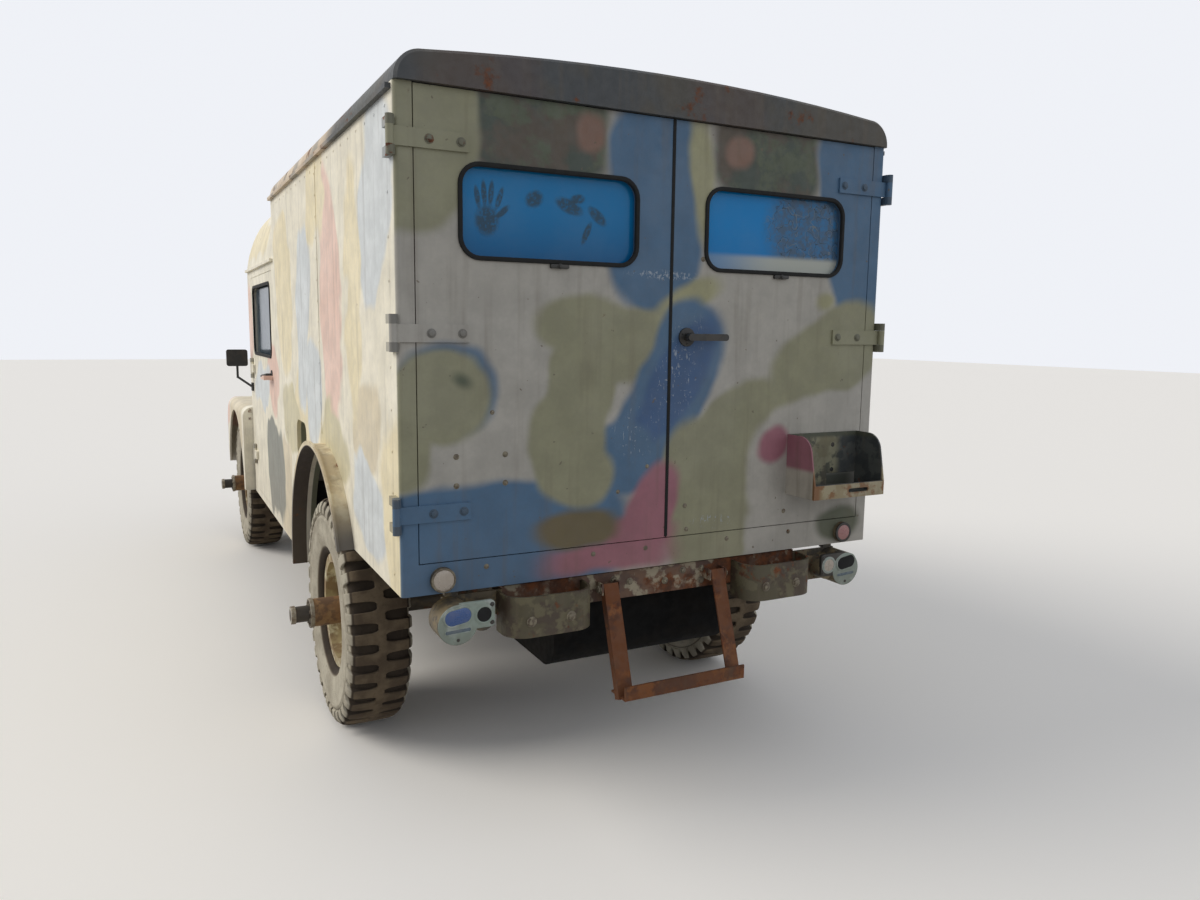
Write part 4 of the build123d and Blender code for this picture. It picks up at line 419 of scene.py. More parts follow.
def rear_colour(tree):
    """Mottled brown bands on cream, the rear's patches over them, and its knocks on top."""
    place = use_group(tree, PLACE, {"Waver": 0.06, "Scale": 5.0})
    seen_at = {"Across": place["Across"], "Up": place["Up"]}
    mottled = mixed(BROWN, OCHRE, MOSS, 6.0, 0.07)(tree)
    ground = CREAM
    for band in TOP_BANDS:
        ground = blend(patch_mask(place["Across"], place["Up"], *band, edge=0.12), ground, mottled)
    colour = use_group(tree, REAR_CAMOUFLAGE, {"Base": ground, **seen_at})["Color"]
    return use_group(tree, CHIPS, {"Color": colour, **seen_at})["Color"]


def side_colour(tree):
    """The sides' pattern runs over the hood and roof too, because height there grows towards the middle."""
    place = use_group(tree, PLACE, {"Waver": 0.32, "Scale": 2.8})
    inward = (BODY_HALF - abs(place["Across"])).maths("MAXIMUM", 0.0)
    along = place["Across"].step(-0.1, 0.1) * 0.55 + place["Along"]
    return use_group(tree, SIDE_CAMOUFLAGE, {"Across": along, "Up": inward * 0.6 + place["Up"]})["Color"]


def corner_colour(tree):
    """Rear pattern on the rear face, turning into the side pattern just round the corner."""
    along = use_group(tree, PLACE, {"Waver": 0.004})["Along"]
    return blend(along.step(0.006, 0.016), rear_colour(tree), side_colour(tree))


def shaded_hinge_colour(tree):
    """The corner's own paint, darkened: painted shade on the hinges, which stand out from the rear."""
    return blend(0.55, corner_colour(tree), (52, 54, 52))


def from_line(tree, y, up):
    """How far a place is from a line that runs across the truck."""
    _, along, high = place_in(tree).axes()
    return ((along - y) ** 2.0 + (high - up) ** 2.0).maths("SQRT")


def from_axle(tree):
    """How far a place is from the axle line of the wheels there."""
    front = place_in(tree).axes()[1].maths("GREATER_THAN", (REAR_AXLE + FRONT_AXLE) / 2)
    return from_line(tree, blend_value(front, REAR_AXLE, FRONT_AXLE), AXLE_UP)


def under_arch(tree, clean, sheet, dirt):
    """Clean colour, with road dirt on the side of a sheet over the rear wheel that is towards the tyre."""
    reach = ARCH["radius"] + sheet
    return blend(from_line(tree, ARCH["y"], ARCH["up"]).step(reach + 0.002, reach), clean, dirt)


def flare_colour(tree):
    """Tan on top, greyer lower down, and road dirt on the side towards the tyre."""
    tan = mixed((224, 208, 172), (202, 184, 148), (230, 218, 186), 4.0)(tree)
    outside = blend(place_in(tree).axes()[2].step(0.98, 0.8), tan, (92, 90, 88))
    return under_arch(tree, outside, 0.002, (60, 50, 42))


def housing_colour(tree):
    """Inner paint towards the load space, and road dirt towards the wheel."""
    return under_arch(tree, mixed(*INNER_COATS)(tree), 0.012, (50, 44, 38))


def wheel_colour(tree):
    """Cream paint, painted near white on the disc as in sun and tan on the rim as in shade, a rust-brown hub,
    and a dark drive cap with a bright ring at its end, a painted highlight.
    """
    out = abs(place_in(tree).axes()[0])
    radius = from_axle(tree)
    # Painted light and shade of one cream paint: the disc near white as in sun, the rim tan as in shade
    disc = mixed((250, 246, 214), (234, 226, 190), (252, 250, 230), 6.0)(tree)
    rim = mixed((168, 152, 112), (132, 108, 74), (206, 198, 166), 7.0)(tree)
    hub = mixed((132, 92, 52), (152, 114, 70), (104, 72, 46), 12.0)(tree)
    cap = mixed((40, 37, 34), (52, 46, 40), (32, 30, 29), 14.0)(tree)
    return layered(
        disc,
        (radius.step(0.168, 0.182), rim),
        (out.step(HUB_FROM, HUB_FROM + 0.004) * radius.step(0.118, 0.112), hub),
        # The pale ring at the cap's end is a painted highlight
        (out.step(HUB_END, HUB_END + 0.002), cap),
        (out.step(CAP_END, CAP_END + 0.002) * radius.step(0.0215, 0.0225), (186, 184, 176)))


def frame_colour(tree):
    """Dark chassis paint, and a rusty rear cross member with cream flaking off it."""
    dark = mixed((50, 47, 40), (66, 57, 46), (38, 36, 33))(tree)
    rusty = mixed((102, 74, 56), (78, 54, 44), (160, 150, 128), 11.0)(tree)
    return blend((place_in(tree).axes()[1] - REAR_FACE).step(0.16, 0.12), dark, rusty)


def carrier_colour(tree):
    """Mottled back plate, dark inside, a pink and white left plate and a cream, rusty front lip. The dark
    inside, towards the right and at the tray's bottom, is dark paint with painted shade, and the dark olive
    top edge is partly painted shade.
    """
    x, y, z = place_in(tree).axes()
    low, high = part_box("can_carrier")
    wall = 0.006
    colour = mixed((132, 130, 106), (112, 108, 84), (64, 66, 56), 11.0)(tree)
    dark = mixed((58, 64, 66), (46, 52, 54), (74, 78, 76), 9.0)(tree)
    halves = blend(z.step(low.z + 0.085, low.z + 0.105), (178, 172, 160), PINK)
    lip = y.step(low.y + 2 * wall, low.y + wall)
    return layered(
        colour,
        # Dark paint with painted shade: towards the right inner wall and at the bottom of the tray
        (x.step(high.x - 0.11, high.x - 0.07), dark),
        (z.step(low.z + 0.04, low.z + 0.012), dark),
        # A dark olive top edge, partly painted shade
        (z.step(high.z - 0.022, high.z - 0.008), (66, 70, 56)),
        (x.step(low.x + wall, low.x + 0.5 * wall), halves),
        (lip, mixed((166, 156, 128), (150, 136, 104), (128, 92, 56), 13.0)(tree)),
        (lip * x.step(low.x + 0.04, low.x + 0.015), (124, 86, 52)))


def roof_colour(tree):
    """Dark, mossy paint over the doors, bleached to tan farther forward."""
    place = use_group(tree, PLACE, {"Waver": 0.35, "Scale": 2.2})
    cloud = place_in(tree).noise(3.1, 4.0, 0.6)
    bleached = mixed((222, 204, 178), (206, 186, 160), (168, 158, 142), 2.6)(tree)
    return layered(
        blend(cloud.step(0.42, 0.58), (55, 59, 62), (67, 64, 57)),
        ((place["Across"] * 7.5).sine().step(0.2, 0.8) * 0.45, (76, 60, 57)),
        ((place["Along"] * 3.9).sine().step(0.45, 0.95) * 0.5, (64, 72, 72)),
        (place["Along"].step(0.75, 1.05), bleached))


# Materials
def surface(name, constants=()):
    """A new material and its tree, with plain values set on its shader's own sockets."""
    material = bpy.data.materials.new(name)
    material.use_nodes = True
    tree = material.node_tree
    join(tree, tree.nodes["Principled BSDF"], constants)
    return material, tree


def dress(material, colour, roughness, height=None, bump=0.5, deep=0.002):
    """Links a colour, a roughness and a bump to the material's shader."""
    tree = material.node_tree
    looks = {"Base Color": colour, "Roughness": roughness}
    if height:
        looks["Normal"] = node(tree, "Bump", {"Strength": bump, "Distance": deep, "Height": height})[0]
    join(tree, tree.nodes["Principled BSDF"], looks)
    return material


def make_painted(name, colour_of, weathering, constants=()):
    """A painted metal: colour_of gives its clean colour, weathering the weather group's values."""
    material, tree = surface(name, constants)
    out = use_group(tree, WEATHER, {"Color": colour_of(tree), **dict(zip(WEATHERING, weathering))})
    return dress(material, out["Color"], out["Roughness"], out["Height"])


def make_seal_rubber():
    """Old rubber strips: fine cracks, with dust caught in them."""
    material, tree = surface("seal_rubber", {"Specular IOR Level": 0.35})
    place = place_in(tree)
    grain = place.noise(60.0, 5.0, 0.65)
    cover = place.noise(7.0, 4.0).step(0.32, 0.66, 0.35, 1.0) * 0.35
    black = (20, 21, 22)
    colour = blend(cover, black, blend(grain.step(0.3, 0.7), black, (48, 48, 46)))
    return dress(material, colour, grain.step(0.2, 0.8, 0.78, 0.98), grain, deep=0.0015)


def make_tyre_rubber():
    """Tyre rubber: pale dusty flanks, worn brown lugs, dark groove floors as painted shade, a dark ring of
    painted shade in the crease between the lug ends and the flank's ridge, and fine rings round the flank.
    """
    material, tree = surface("tyre_rubber", {"Specular IOR Level": 0.35})
    place = place_in(tree)
    off_middle = abs(abs(place.axes()[0]) - WHEEL_MIDDLE)
    radius = from_axle(tree)
    grain = place.noise(75.0, 5.0, 0.65)
    cloud = place.noise(9.0, 4.0)
    flank = blend(cloud.step(0.36, 0.64), (166, 159, 143), (190, 184, 167))
    tread = blend(cloud.step(0.4, 0.62), (92, 79, 64), (124, 109, 88))
    # Painted shade: the dark groove floors, and the dark ring (seam) in the crease between the lug ends and
    # the flank's ridge
    shaded_groove_floors = radius.step(0.4385, 0.433) * off_middle.step(0.106, 0.098)
    seam = radius.step(0.3835, 0.38) * radius.step(0.3735, 0.377)
    colour = layered(
        tread,
        (off_middle.step(0.1, 0.106), flank), (shaded_groove_floors * 0.85, (40, 33, 27)), (seam * 0.6, (64, 56, 46)),
        (grain.step(0.52, 0.72, 0.0, 0.35), (84, 74, 60)))
    rings = (radius * 900.0).sine() * radius.step(0.356, 0.35)
    return dress(material, colour, grain.step(0.2, 0.8, 0.8, 0.98), rings * 0.25 + grain, deep=0.0012)


def make_glass(name, tint_and_reflection, low_tint_and_reflection, haze, pane=None, smudges=(), branch_reflection=None):
    """Window pane: tinted outside, grey inside, a little dusty, with pressed smudges. On the rear panes the
    blue tint, deeper lower down, is painted reflection of the sky, and the streaks of branches with a pale
    band at their foot are painted reflection of trees and sky.
    """
    material, tree = surface(name, {"Transmission Weight": 0.08, "IOR": 1.45, "Specular IOR Level": 0.16})
    place = place_in(tree)
    x, y, z = place.axes()
    dusty = place.noise(5.0, 4.0, 0.6).step(0.42, 0.7) * haze
    # Painted reflection of the sky: the tint, darker lower down on the rear panes
    colour = blend(dusty, blend(z.step(1.72, 1.92), low_tint_and_reflection, tint_and_reflection), (150, 170, 184))
    rough = dusty * 0.35 + 0.12
    pressure = place.noise(95.0, 3.0, 0.7).step(0.36, 0.5, 0.35, 0.85)
    for smudge in smudges:
        pressed = patch_mask(x, z, *smudge, edge=0.3) * pressure
        colour = blend(pressed, colour, (66, 82, 92))
        rough = blend_value(pressed, rough, 0.6)
    # Painted reflection of tree branches, with a pale glare at their foot
    if branch_reflection:
        mask = patch_mask(x, z, *branch_reflection, edge=0.25)
        reflected_haze = mask * place.noise(44.0, 5.0, 0.7).step(0.36, 0.58, 0.45, 0.85)
        colour = blend(reflected_haze, colour, (86, 102, 116))
        for scale, thin, paint in ((13.0, 0.007, (116, 130, 140)), (26.0, 0.014, (58, 74, 86))):
            reflected_branch = abs(place.noise(scale, 2.0, 0.5) - 0.5).step(thin, thin * 0.3)
            colour = blend(mask * reflected_branch, colour, paint)
        reflected_glare = z.step(1.812, 1.79) * x.step(0.15, 0.42, 0.35, 0.95)
        colour = blend(reflected_glare, colour, (196, 200, 190))
    if pane:
        middle = sum(corner.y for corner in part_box(pane)) / 2
        colour = blend(y.step(middle - 0.0005, middle + 0.0005), colour, (74, 90, 98))
    return dress(material, colour, rough)


def make_lens(name, colour, ribs):
    """Moulded lamp glass, with fine ribs that scatter the light."""
    material, tree = surface(name, {"Transmission Weight": 0.15, "Coat Weight": 0.4, "Coat Roughness": 0.12})
    place = place_in(tree)
    x, _, z = place.axes()
    dirt = place.noise(30.0, 5.0)
    colour = blend(dirt.step(0.4, 0.7, 0.0, 0.2), colour, DUST)
    waves = (x * ribs).sine() + (z * ribs).sine()
    return dress(material, colour, dirt.step(0.3, 0.7, 0.15, 0.5), waves, 0.2, 0.0006)


def make_canvas():
    """Coated canvas of the seats: a fine weave, paler where it is rubbed."""
    material, tree = surface("canvas", {"Sheen Weight": 0.2, "Specular IOR Level": 0.3})
    place = place_in(tree)
    x, y, z = place.axes()
    rubbed = place.noise(8.0, 4.0).step(0.4, 0.7)
    weave = (x * 2600.0).sine() * ((y + z) * 2600.0).sine()
    colour = blend(rubbed, (78, 78, 58), (112, 110, 84))
    return dress(material, colour, rubbed.step(0.0, 1.0, 0.85, 0.65), weave, 0.35, 0.0006)


HAND_SMUDGES = (
    # across, up, half_wide, half_tall, tilt: palm, four fingers and a thumb, then wiped marks
    (-0.608, 1.855, 0.034, 0.04, 0),
    (-0.636, 1.918, 0.008, 0.03, 10),
    (-0.616, 1.93, 0.008, 0.034, 4),
    (-0.595, 1.932, 0.008, 0.033, -6),
    (-0.57, 1.918, 0.008, 0.032, -18),
    (-0.56, 1.882, 0.009, 0.026, -48),
    (-0.462, 1.925, 0.028, 0.022, 30),
    (-0.35, 1.912, 0.044, 0.02, -20),
    (-0.322, 1.935, 0.022, 0.014, 10),
    (-0.256, 1.89, 0.036, 0.016, -40),
    (-0.292, 1.838, 0.01, 0.034, -24),
)
# Where the right rear pane shows painted reflection of tree branches
BRANCH_REFLECTION = (0.6, 1.905, 0.205, 0.16, 17.19, 2.4)     # across, up, half_wide, half_tall, tilt, square

CAR = (0.3, 0.22, 0.16, 14.0, 0.25, 1.15, 0.56)
CHASSIS = (0.2, 0.2, 0.52, 9.0, 0.35, 0.9, 0.55)
PAINTS = (
    # name, clean colour, weathering in the order of WEATHERING, plain values of the shader
    ("rear_door_paint", with_inside(rear_colour, "Y", REAR_FACE + DOORWAY_DEPTH, 1), CAR),
    ("rear_frame_paint", corner_colour, CAR),
    ("rear_hinge_paint", shaded_hinge_colour, (0.3, 0.22, 0.34, 30.0, 0.25, 1.15, 0.56)),
    ("side_paint", side_colour, CAR),
    ("wall_paint", with_inside(side_colour, "X", INSIDE, -1), CAR),
    ("roof_paint", roof_colour, (0.4, 0.22, 0.4, 7.0, 0.25, 1.15, 0.56)),
    ("housing_paint", housing_colour, (0.25, 0.2, 0.2, 14.0, 0.1, 1.1, 0.55)),
    ("inner_paint", mixed(*INNER_COATS), (0.3, 0.3, 0.2, 14.0, 0.5, 1.4, 0.55)),
    ("floor_paint", mixed((84, 84, 70), (98, 92, 74), (70, 64, 54)), (0.3, 0.0, 0.42, 14.0, 0.7, 1.6, 0.55)),
    ("chassis_paint", mixed((58, 54, 46), (76, 66, 52), (44, 42, 38)), CHASSIS),
    ("bumper_paint", mixed((76, 70, 50), (62, 50, 38), (98, 92, 68), 11.0),
     (0.2, 0.5, 0.38, 16.0, 0.2, 0.9, 0.55)),
    ("front_bumper_paint", mixed((150, 140, 108), (126, 120, 92), (104, 94, 72)),
     (0.2, 0.2, 0.35, 9.0, 0.35, 0.9, 0.55)),
    ("axle_paint", mixed((74, 66, 54), (60, 56, 48), (92, 80, 62)), CHASSIS),
    ("exhaust_skin", mixed((96, 72, 54), (116, 84, 60), (70, 56, 46)), (0.2, 0.2, 0.7, 9.0, 0.35, 0.9, 0.55)),
    # Near black: painted shade on the fuel tank under the body, and on the sheets round the rear wheels
    ("tank_paint", mixed((12, 12, 12), (18, 16, 14), (8, 8, 8)), (0.0, 0.0, 0.1, 9.0, 0.0, 0.9, 0.8),
     {"Specular IOR Level": 0.15}),
    ("step_rust", mixed((104, 58, 24), (78, 44, 24), (122, 72, 32), 9.0),
     (0.1, 0.2, 0.45, 18.0, 0.1, 0.8, 0.75)),
    ("lamp_paint", mixed((152, 166, 156), (136, 146, 136), (166, 174, 168), 9.0),
     (0.3, 0.2, 0.14, 40.0, 0.15, 0.95, 0.55)),
    ("lamp_housing_paint", mixed((120, 106, 78), (92, 82, 64), (66, 62, 54), 12.0),
     (0.3, 0.2, 0.3, 30.0, 0.2, 0.95, 0.55)),
    ("carrier_paint", carrier_colour, (0.3, 0.3, 0.22, 26.0, 0.1, 1.3, 0.55)),
    # The grille is in the sides' paints, written lighter as in full sun: painted light
    ("grille_paint", mixed(SUN_KHAKI, SUN_OLIVE, SUN_CREAM, 3.0), (0.3, 0.22, 0.24, 14.0, 0.25, 1.15, 0.56)),
    ("flare_paint", flare_colour, (0.3, 0.22, 0.3, 10.0, 0.25, 1.15, 0.56)),
    ("wheel_paint", wheel_colour, (0.2, 0.0, 0.22, 18.0, 0.12, 1.2, 0.55)),
    ("black_metal", mixed((32, 31, 29), (44, 40, 35), (26, 25, 24), 12.0),
     (0.2, 0.1, 0.26, 30.0, 0.06, 1.1, 0.5)),
    ("bolt_steel", mixed((116, 108, 92), (88, 78, 64), (136, 128, 108), 40.0),
     (0.2, 0.1, 0.26, 50.0, 0.2, 1.1, 0.55)),
    ("bright_steel", mixed((176, 168, 150), (150, 140, 120), (120, 104, 84), 30.0),
     (0.1, 0.1, 0.2, 40.0, 0.1, 1.1, 0.4)),
    ("frame_paint", frame_colour, CHASSIS),
    ("bench_wood", mixed((126, 112, 82), (104, 94, 72), (88, 84, 68), 3.0),
     (0.3, 0.0, 0.1, 14.0, 0.4, 1.5, 0.55)),
)
LENSES = (
    # name, colour, ribs in radians a metre
    ("clear_lens", (214, 214, 206), 900.0),
    ("blue_lens", (30, 82, 150), 1100.0),
    ("red_lens", (176, 118, 116), 1300.0),
    ("pale_lens", (196, 184, 170), 1300.0),
    ("slot_glass", (84, 104, 118), 1300.0),
)
GLASSES = (
    # name, tint with painted reflection of the sky, the same lower down, haze, its pane, smudges, painted
    # reflection of branches
    ("rear_glass_left", (26, 128, 190), (14, 100, 156), 0.06, "rear_door_glass_left", HAND_SMUDGES),
    ("rear_glass_right", (18, 140, 214), (14, 128, 200), 0.06, "rear_door_glass_right", (), BRANCH_REFLECTION),
    ("cab_glass", (44, 60, 72), (50, 66, 78), 0.14),
)
MATERIALS = {"tyre_rubber": make_tyre_rubber(), "seal_rubber": make_seal_rubber(), "canvas": make_canvas()}
for make, table in ((make_painted, PAINTS), (make_lens, LENSES), (make_glass, GLASSES)):
    MATERIALS.update({row[0]: make(*row) for row in table})

# What each node of the frame is finished with
NODE_FINISHES = {
    "rear_door_paint": "rear_door_left rear_door_right",
    "rear_frame_paint": "rear_frame",
    "rear_hinge_paint": "door_hinges",
    "wall_paint": "body_sides cab_door_left cab_door_right",
    "side_paint": "front_fenders hood_sides hood cowl fuel_filler cab_roof",
    "flare_paint": "arch_flares",
    "grille_paint": "grille",
    "roof_paint": "roof",
    "inner_paint": "partition dashboard seat_boxes",
    "housing_paint": "wheel_housings",
    "floor_paint": "floor",
    "bench_wood": "benches",
    "frame_paint": "frame",
    "chassis_paint": "leaf_springs transfer_case engine_block propshafts radiator",
    "bumper_paint": "rear_bumperettes",
    "front_bumper_paint": "front_bumper",
    "axle_paint": "rear_axle front_axle knuckle_left knuckle_right tie_rod",
    "exhaust_skin": "exhaust",
    "tank_paint": "fuel_tank",
    "step_rust": "rear_step",
    "lamp_housing_paint": "tail_lamps",
    "carrier_paint": "can_carrier",
    "clear_lens": "head_lamps",
    "black_metal": "steering_wheel mirrors rear_door_handle",
    "tyre_rubber": "tyre_front_left tyre_front_right tyre_rear_left tyre_rear_right",
    "wheel_paint": "wheel_front_left wheel_front_right wheel_rear_left wheel_rear_right",
    "rear_glass_left": "rear_door_glass_left",
    "rear_glass_right": "rear_door_glass_right",
    "cab_glass": "cab_door_glass_left cab_door_glass_right windscreen_glass",
}
for finish, names in NODE_FINISHES.items():
    for name in names.split():
        mesh = nodes[name].data
        mesh.materials.clear()
        mesh.materials.append(MATERIALS[finish])


# Helpers for modelling
SIDES = (("left", -1), ("right", 1))
# Which way a small piece looks: its own right and up as seen from outside the truck
FACINGS = {
    "rear": ((1, 0, 0), (0, 0, 1)),
    "front": ((-1, 0, 0), (0, 0, 1)),
    "left": ((0, -1, 0), (0, 0, 1)),
    "right": ((0, 1, 0), (0, 0, 1)),
}


def seat(facing, x, y, z, turn=0.0):
    """Matrix that lays a piece modelled flat, looking up +Z, on a face of the truck."""
    right, up = (Vector(axis) for axis in FACINGS[facing])
    turned = Matrix((right, up, right.cross(up))).transposed().to_4x4()
    return Matrix.Translation((x, y, z)) @ turned @ Matrix.Rotation(math.radians(turn), 4, "Z")


def outward(place):
    """The way a seated piece looks."""
    return place.to_3x3() @ Vector((0, 0, 1))


def above(place, height):
    """The same seat, lifted off its face."""
    return place @ Matrix.Translation((0, 0, height))


def new_object(name, bm):
    """An object in the scene, made from a bmesh that is freed."""
    mesh = bpy.data.meshes.new(name)
    bm.to_mesh(mesh)
    bm.free()
    made = bpy.data.objects.new(name, mesh)
    bpy.context.scene.collection.objects.link(made)
    return made


def finish_piece(name, bm, body, material, slot, smooth_under=40.0):
    """Turns a bmesh into a piece that rides on a body, with its normals outward."""
    bmesh.ops.remove_doubles(bm, verts=bm.verts, dist=1e-6)
    bmesh.ops.recalc_face_normals(bm, faces=bm.faces)
    for edge in bm.edges:
        edge.smooth = len(edge.link_faces) == 2 and edge.calc_face_angle(0.0) < math.radians(smooth_under)
    for face in bm.faces:
        face.smooth = True
    piece = new_object(name, bm)
    piece.data.materials.append(MATERIALS[material])
    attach(piece, body)
    return piece


def make_piece(name, body, material, slot, parts, smooth_under=40.0):
    """A piece from rows that each hold one of the functions below and its values."""
    bm = bmesh.new()
    for add, *values in parts:
        add(bm, *values)
    return finish_piece(name, bm, body, material, slot, smooth_under)


def bevel_edges(bm, edges, width, segments=2):
    bmesh.ops.bevel(bm, geom=list(edges), offset=width, offset_type="OFFSET", affect="EDGES",
                    segments=segments, profile=0.5, material=-1, clamp_overlap=True)


def rounded_plate(bm, wide, tall, corner, place):
    """One flat face with rounded corners."""
    made = bmesh.ops.create_grid(bm, x_segments=1, y_segments=1, size=0.5)
    verts = made["verts"]
    bmesh.ops.scale(bm, vec=(wide, tall, 1), verts=verts)
    rounded = bmesh.ops.bevel(bm, geom=verts, offset=corner, offset_type="OFFSET", affect="VERTICES",
                              segments=7, profile=0.5, material=-1)
    faces = rounded["faces"] + [face for vert in rounded["verts"] for face in vert.link_faces]
    plate = max(faces, key=lambda face: face.calc_area())
    bmesh.ops.transform(bm, matrix=place, verts=plate.verts)
    plate.normal_update()
    return plate


def extrude_out(bm, faces, push):
    """Extrudes faces along a vector and gives the new cap faces."""
    made = bmesh.ops.extrude_face_region(bm, geom=faces)["geom"]
    verts = [item for item in made if isinstance(item, bmesh.types.BMVert)]
    bmesh.ops.translate(bm, vec=push, verts=verts)
    return [item for item in made if isinstance(item, bmesh.types.BMFace)]


def add_ring(bm, place, wide, tall, corner, width, proud, sunk=0.004):
    """A rubber or steel frame of rounded-rectangle outline, width wide, standing proud of its seat."""
    face = rounded_plate(bm, wide, tall, corner, above(place, -sunk))
    before = set(bm.faces)
    bmesh.ops.inset_region(bm, faces=[face], thickness=width, use_even_offset=True, use_boundary=True)
    ring = [made for made in bm.faces if made not in before]
    bmesh.ops.delete(bm, geom=[face], context="FACES_ONLY")
    caps = extrude_out(bm, ring, outward(place) * (proud + sunk))
    rims = {edge for cap in caps for edge in cap.edges if edge.calc_face_angle(0.0) > 1.0}
    bevel_edges(bm, rims, min(width, proud) * 0.42, 3)


def add_plate(bm, place, wide, tall, corner, thick, soften=0.001, sunk=0.001):
    """A sheet-metal plate with rounded corners and a softened edge."""
    face = rounded_plate(bm, wide, tall, corner, above(place, -sunk))
    caps = extrude_out(bm, [face], outward(place) * (thick + sunk))
    bevel_edges(bm, {edge for cap in caps for edge in cap.edges}, soften)


def add_disc(bm, place, radius, thick, soften, sides=24, top=1.0):
    """A turned disc with a softened rim. top narrows it."""
    made = bmesh.ops.create_cone(bm, cap_ends=True, segments=sides, radius1=radius, radius2=radius * top,
                                 depth=thick, matrix=above(place, thick / 2))["verts"]
    heights = {vert: vert.co.dot(outward(place)) for vert in made}
    top_from = max(heights.values()) - 1e-6
    rim = {edge for vert in made for edge in vert.link_edges
           if all(heights[end] > top_from for end in edge.verts)}
    bevel_edges(bm, rim, soften)


def add_bolt(bm, place, radius, height, round_head=True):
    """A bolt on its washer: a low dome, or a hexagon with a softened top."""
    add_disc(bm, place, radius * 1.35, height * 0.25, height * 0.1, 16)
    sides = 16 if round_head else 6
    add_disc(bm, place, radius, height, height * (0.42 if round_head else 0.15), sides, 0.92)


def bolts(name, body, facing, places, radius, height, round_head=True, material="bolt_steel",
          slot="hinge_steel"):
    make_piece(name, body, material, slot,
               [(add_bolt, seat(facing, *place), radius, height, round_head) for place in places])


def add_tube(bm, points, radius, sides=10):
    """A round bar bent through points: rings of vertices bridged one to the next, closed at both ends."""
    points = [Vector(point) for point in points]
    rings = []
    for index, point in enumerate(points):
        ahead = points[min(index + 1, len(points) - 1)] - points[max(index - 1, 0)]
        place = Matrix.Translation(point) @ ahead.to_track_quat("Z", "Y").to_matrix().to_4x4()
        rings.append(bmesh.ops.create_circle(bm, segments=sides, radius=radius, matrix=place)["verts"])
    for first, second in zip(rings, rings[1:]):
        edges = {edge for ring in (first, second) for vert in ring for edge in vert.link_edges
                 if all(end in ring for end in edge.verts)}
        bmesh.ops.bridge_loops(bm, edges=list(edges))
    for ring in (rings[0], rings[-1]):
        bmesh.ops.contextual_create(bm, geom=ring)


# Rear doors
REAR_WINDOW = {"across": 0.41, "up": 1.876, "wide": 0.578, "tall": 0.27, "corner": 0.064}
HINGE_HEIGHTS = (1.026, 1.536, 2.056)
STRAP_PROUD = 0.007
STRAP_BOLTS = (0.69, 0.78)
HANDLE = {"across": 0.062, "up": 1.532}


def make_rear_window_details():
    """Each rear window's rubber, and the catch on its lower edge."""
    for name, side in SIDES:
        x, up, tall = side * REAR_WINDOW["across"], REAR_WINDOW["up"], REAR_WINDOW["tall"]
        window = seat("rear", x, REAR_FACE, up)
        make_piece(f"rear_window_rubber_{name}", f"rear_door_{name}", "seal_rubber", "rubber", [
            (add_ring, window, REAR_WINDOW["wide"], tall, REAR_WINDOW["corner"], 0.013, 0.007)], 70)
        catch = seat("rear", x + 0.02, REAR_FACE, up - tall / 2 - 0.006)
        make_piece(f"rear_window_catch_{name}", f"rear_door_{name}", "black_metal", "black_paint", [
            (add_plate, catch, 0.06, 0.012, 0.004, 0.01), (add_bolt, above(catch, 0.01), 0.006, 0.006)])


def make_rear_door_seals_and_shade_line():
    """Dark rubber strips just below the skin: one fills the gap between the doors, and the one above them is
    painted shade, the dark line under the roof's edge.
    """
    gaps = (
        # name, body, up, wide, tall, deep
        ("seal_middle", "rear_door_right", 1.54, 0.011, 1.312, -0.0005),
        # Painted shade: the dark line in the gap under the roof's edge
        ("shade_line_top", "truck", 2.1985, 1.64, 0.006, 0.004),
    )
    for name, body, up, wide, tall, deep in gaps:
        strip = (add_plate, seat("rear", 0.0, REAR_FACE + deep, up), wide, tall, 0.002, 0.0015, 0.0006)
        make_piece(name, body, "seal_rubber", "rubber", [strip])


def make_rear_door_fasteners():
    """Bolts in the straps, but for those under the can carrier, and the rear's plugs and screws."""
    for name, side in SIDES:
        strap = [(side * x, REAR_FACE - STRAP_PROUD, z) for z in HINGE_HEIGHTS for x in STRAP_BOLTS
                 if side < 0 or z > HINGE_HEIGHTS[0]]
        # The strap bolts take the hinges' paint, with its painted shade
        bolts(f"hinge_strap_bolts_{name}", f"rear_door_{name}", "rear", strap, 0.01, 0.006,
              material="rear_hinge_paint")
    rows = (
        # name, body, radius, (across, up) of each
        ("door_plug_bolts", "rear_door_left", 0.0065,
         ((-0.71, 1.185), (-0.56, 1.185), (-0.71, 1.1), (-0.56, 1.1))),
        ("door_screws_right", "rear_door_right", 0.006,
         ((0.485, 0.928), (0.072, 0.98), (0.08, 0.9), (0.118, 1.78))),
        ("door_screws_left", "rear_door_left", 0.005, ((-0.18, 1.045), (-0.075, 1.12), (-0.6, 1.31))),
        ("sill_screws", "truck", 0.006, tuple((x, 0.852) for x in (-0.62, -0.265, -0.075, 0.245, 0.51))),
    )
    for name, body, radius, places in rows:
        bolts(name, body, "rear", [(x, REAR_FACE, z) for x, z in places], radius, 0.003)


def make_handle_escutcheon():
    """The handle's round plate, with three bolts on a circle."""
    x, z, plate, circle = HANDLE["across"], HANDLE["up"], 0.03, 0.022
    parts = [(add_disc, seat("rear", x, REAR_FACE, z), plate, 0.006, 0.002, 28)]
    for turn in (30, 150, 270):
        right, up = circle * math.cos(math.radians(turn)), circle * math.sin(math.radians(turn))
        parts.append((add_bolt, seat("rear", x + right, REAR_FACE - 0.005, z + up), 0.0035, 0.003))
    make_piece("handle_escutcheon", "rear_door_right", "black_metal", "black_paint", parts)


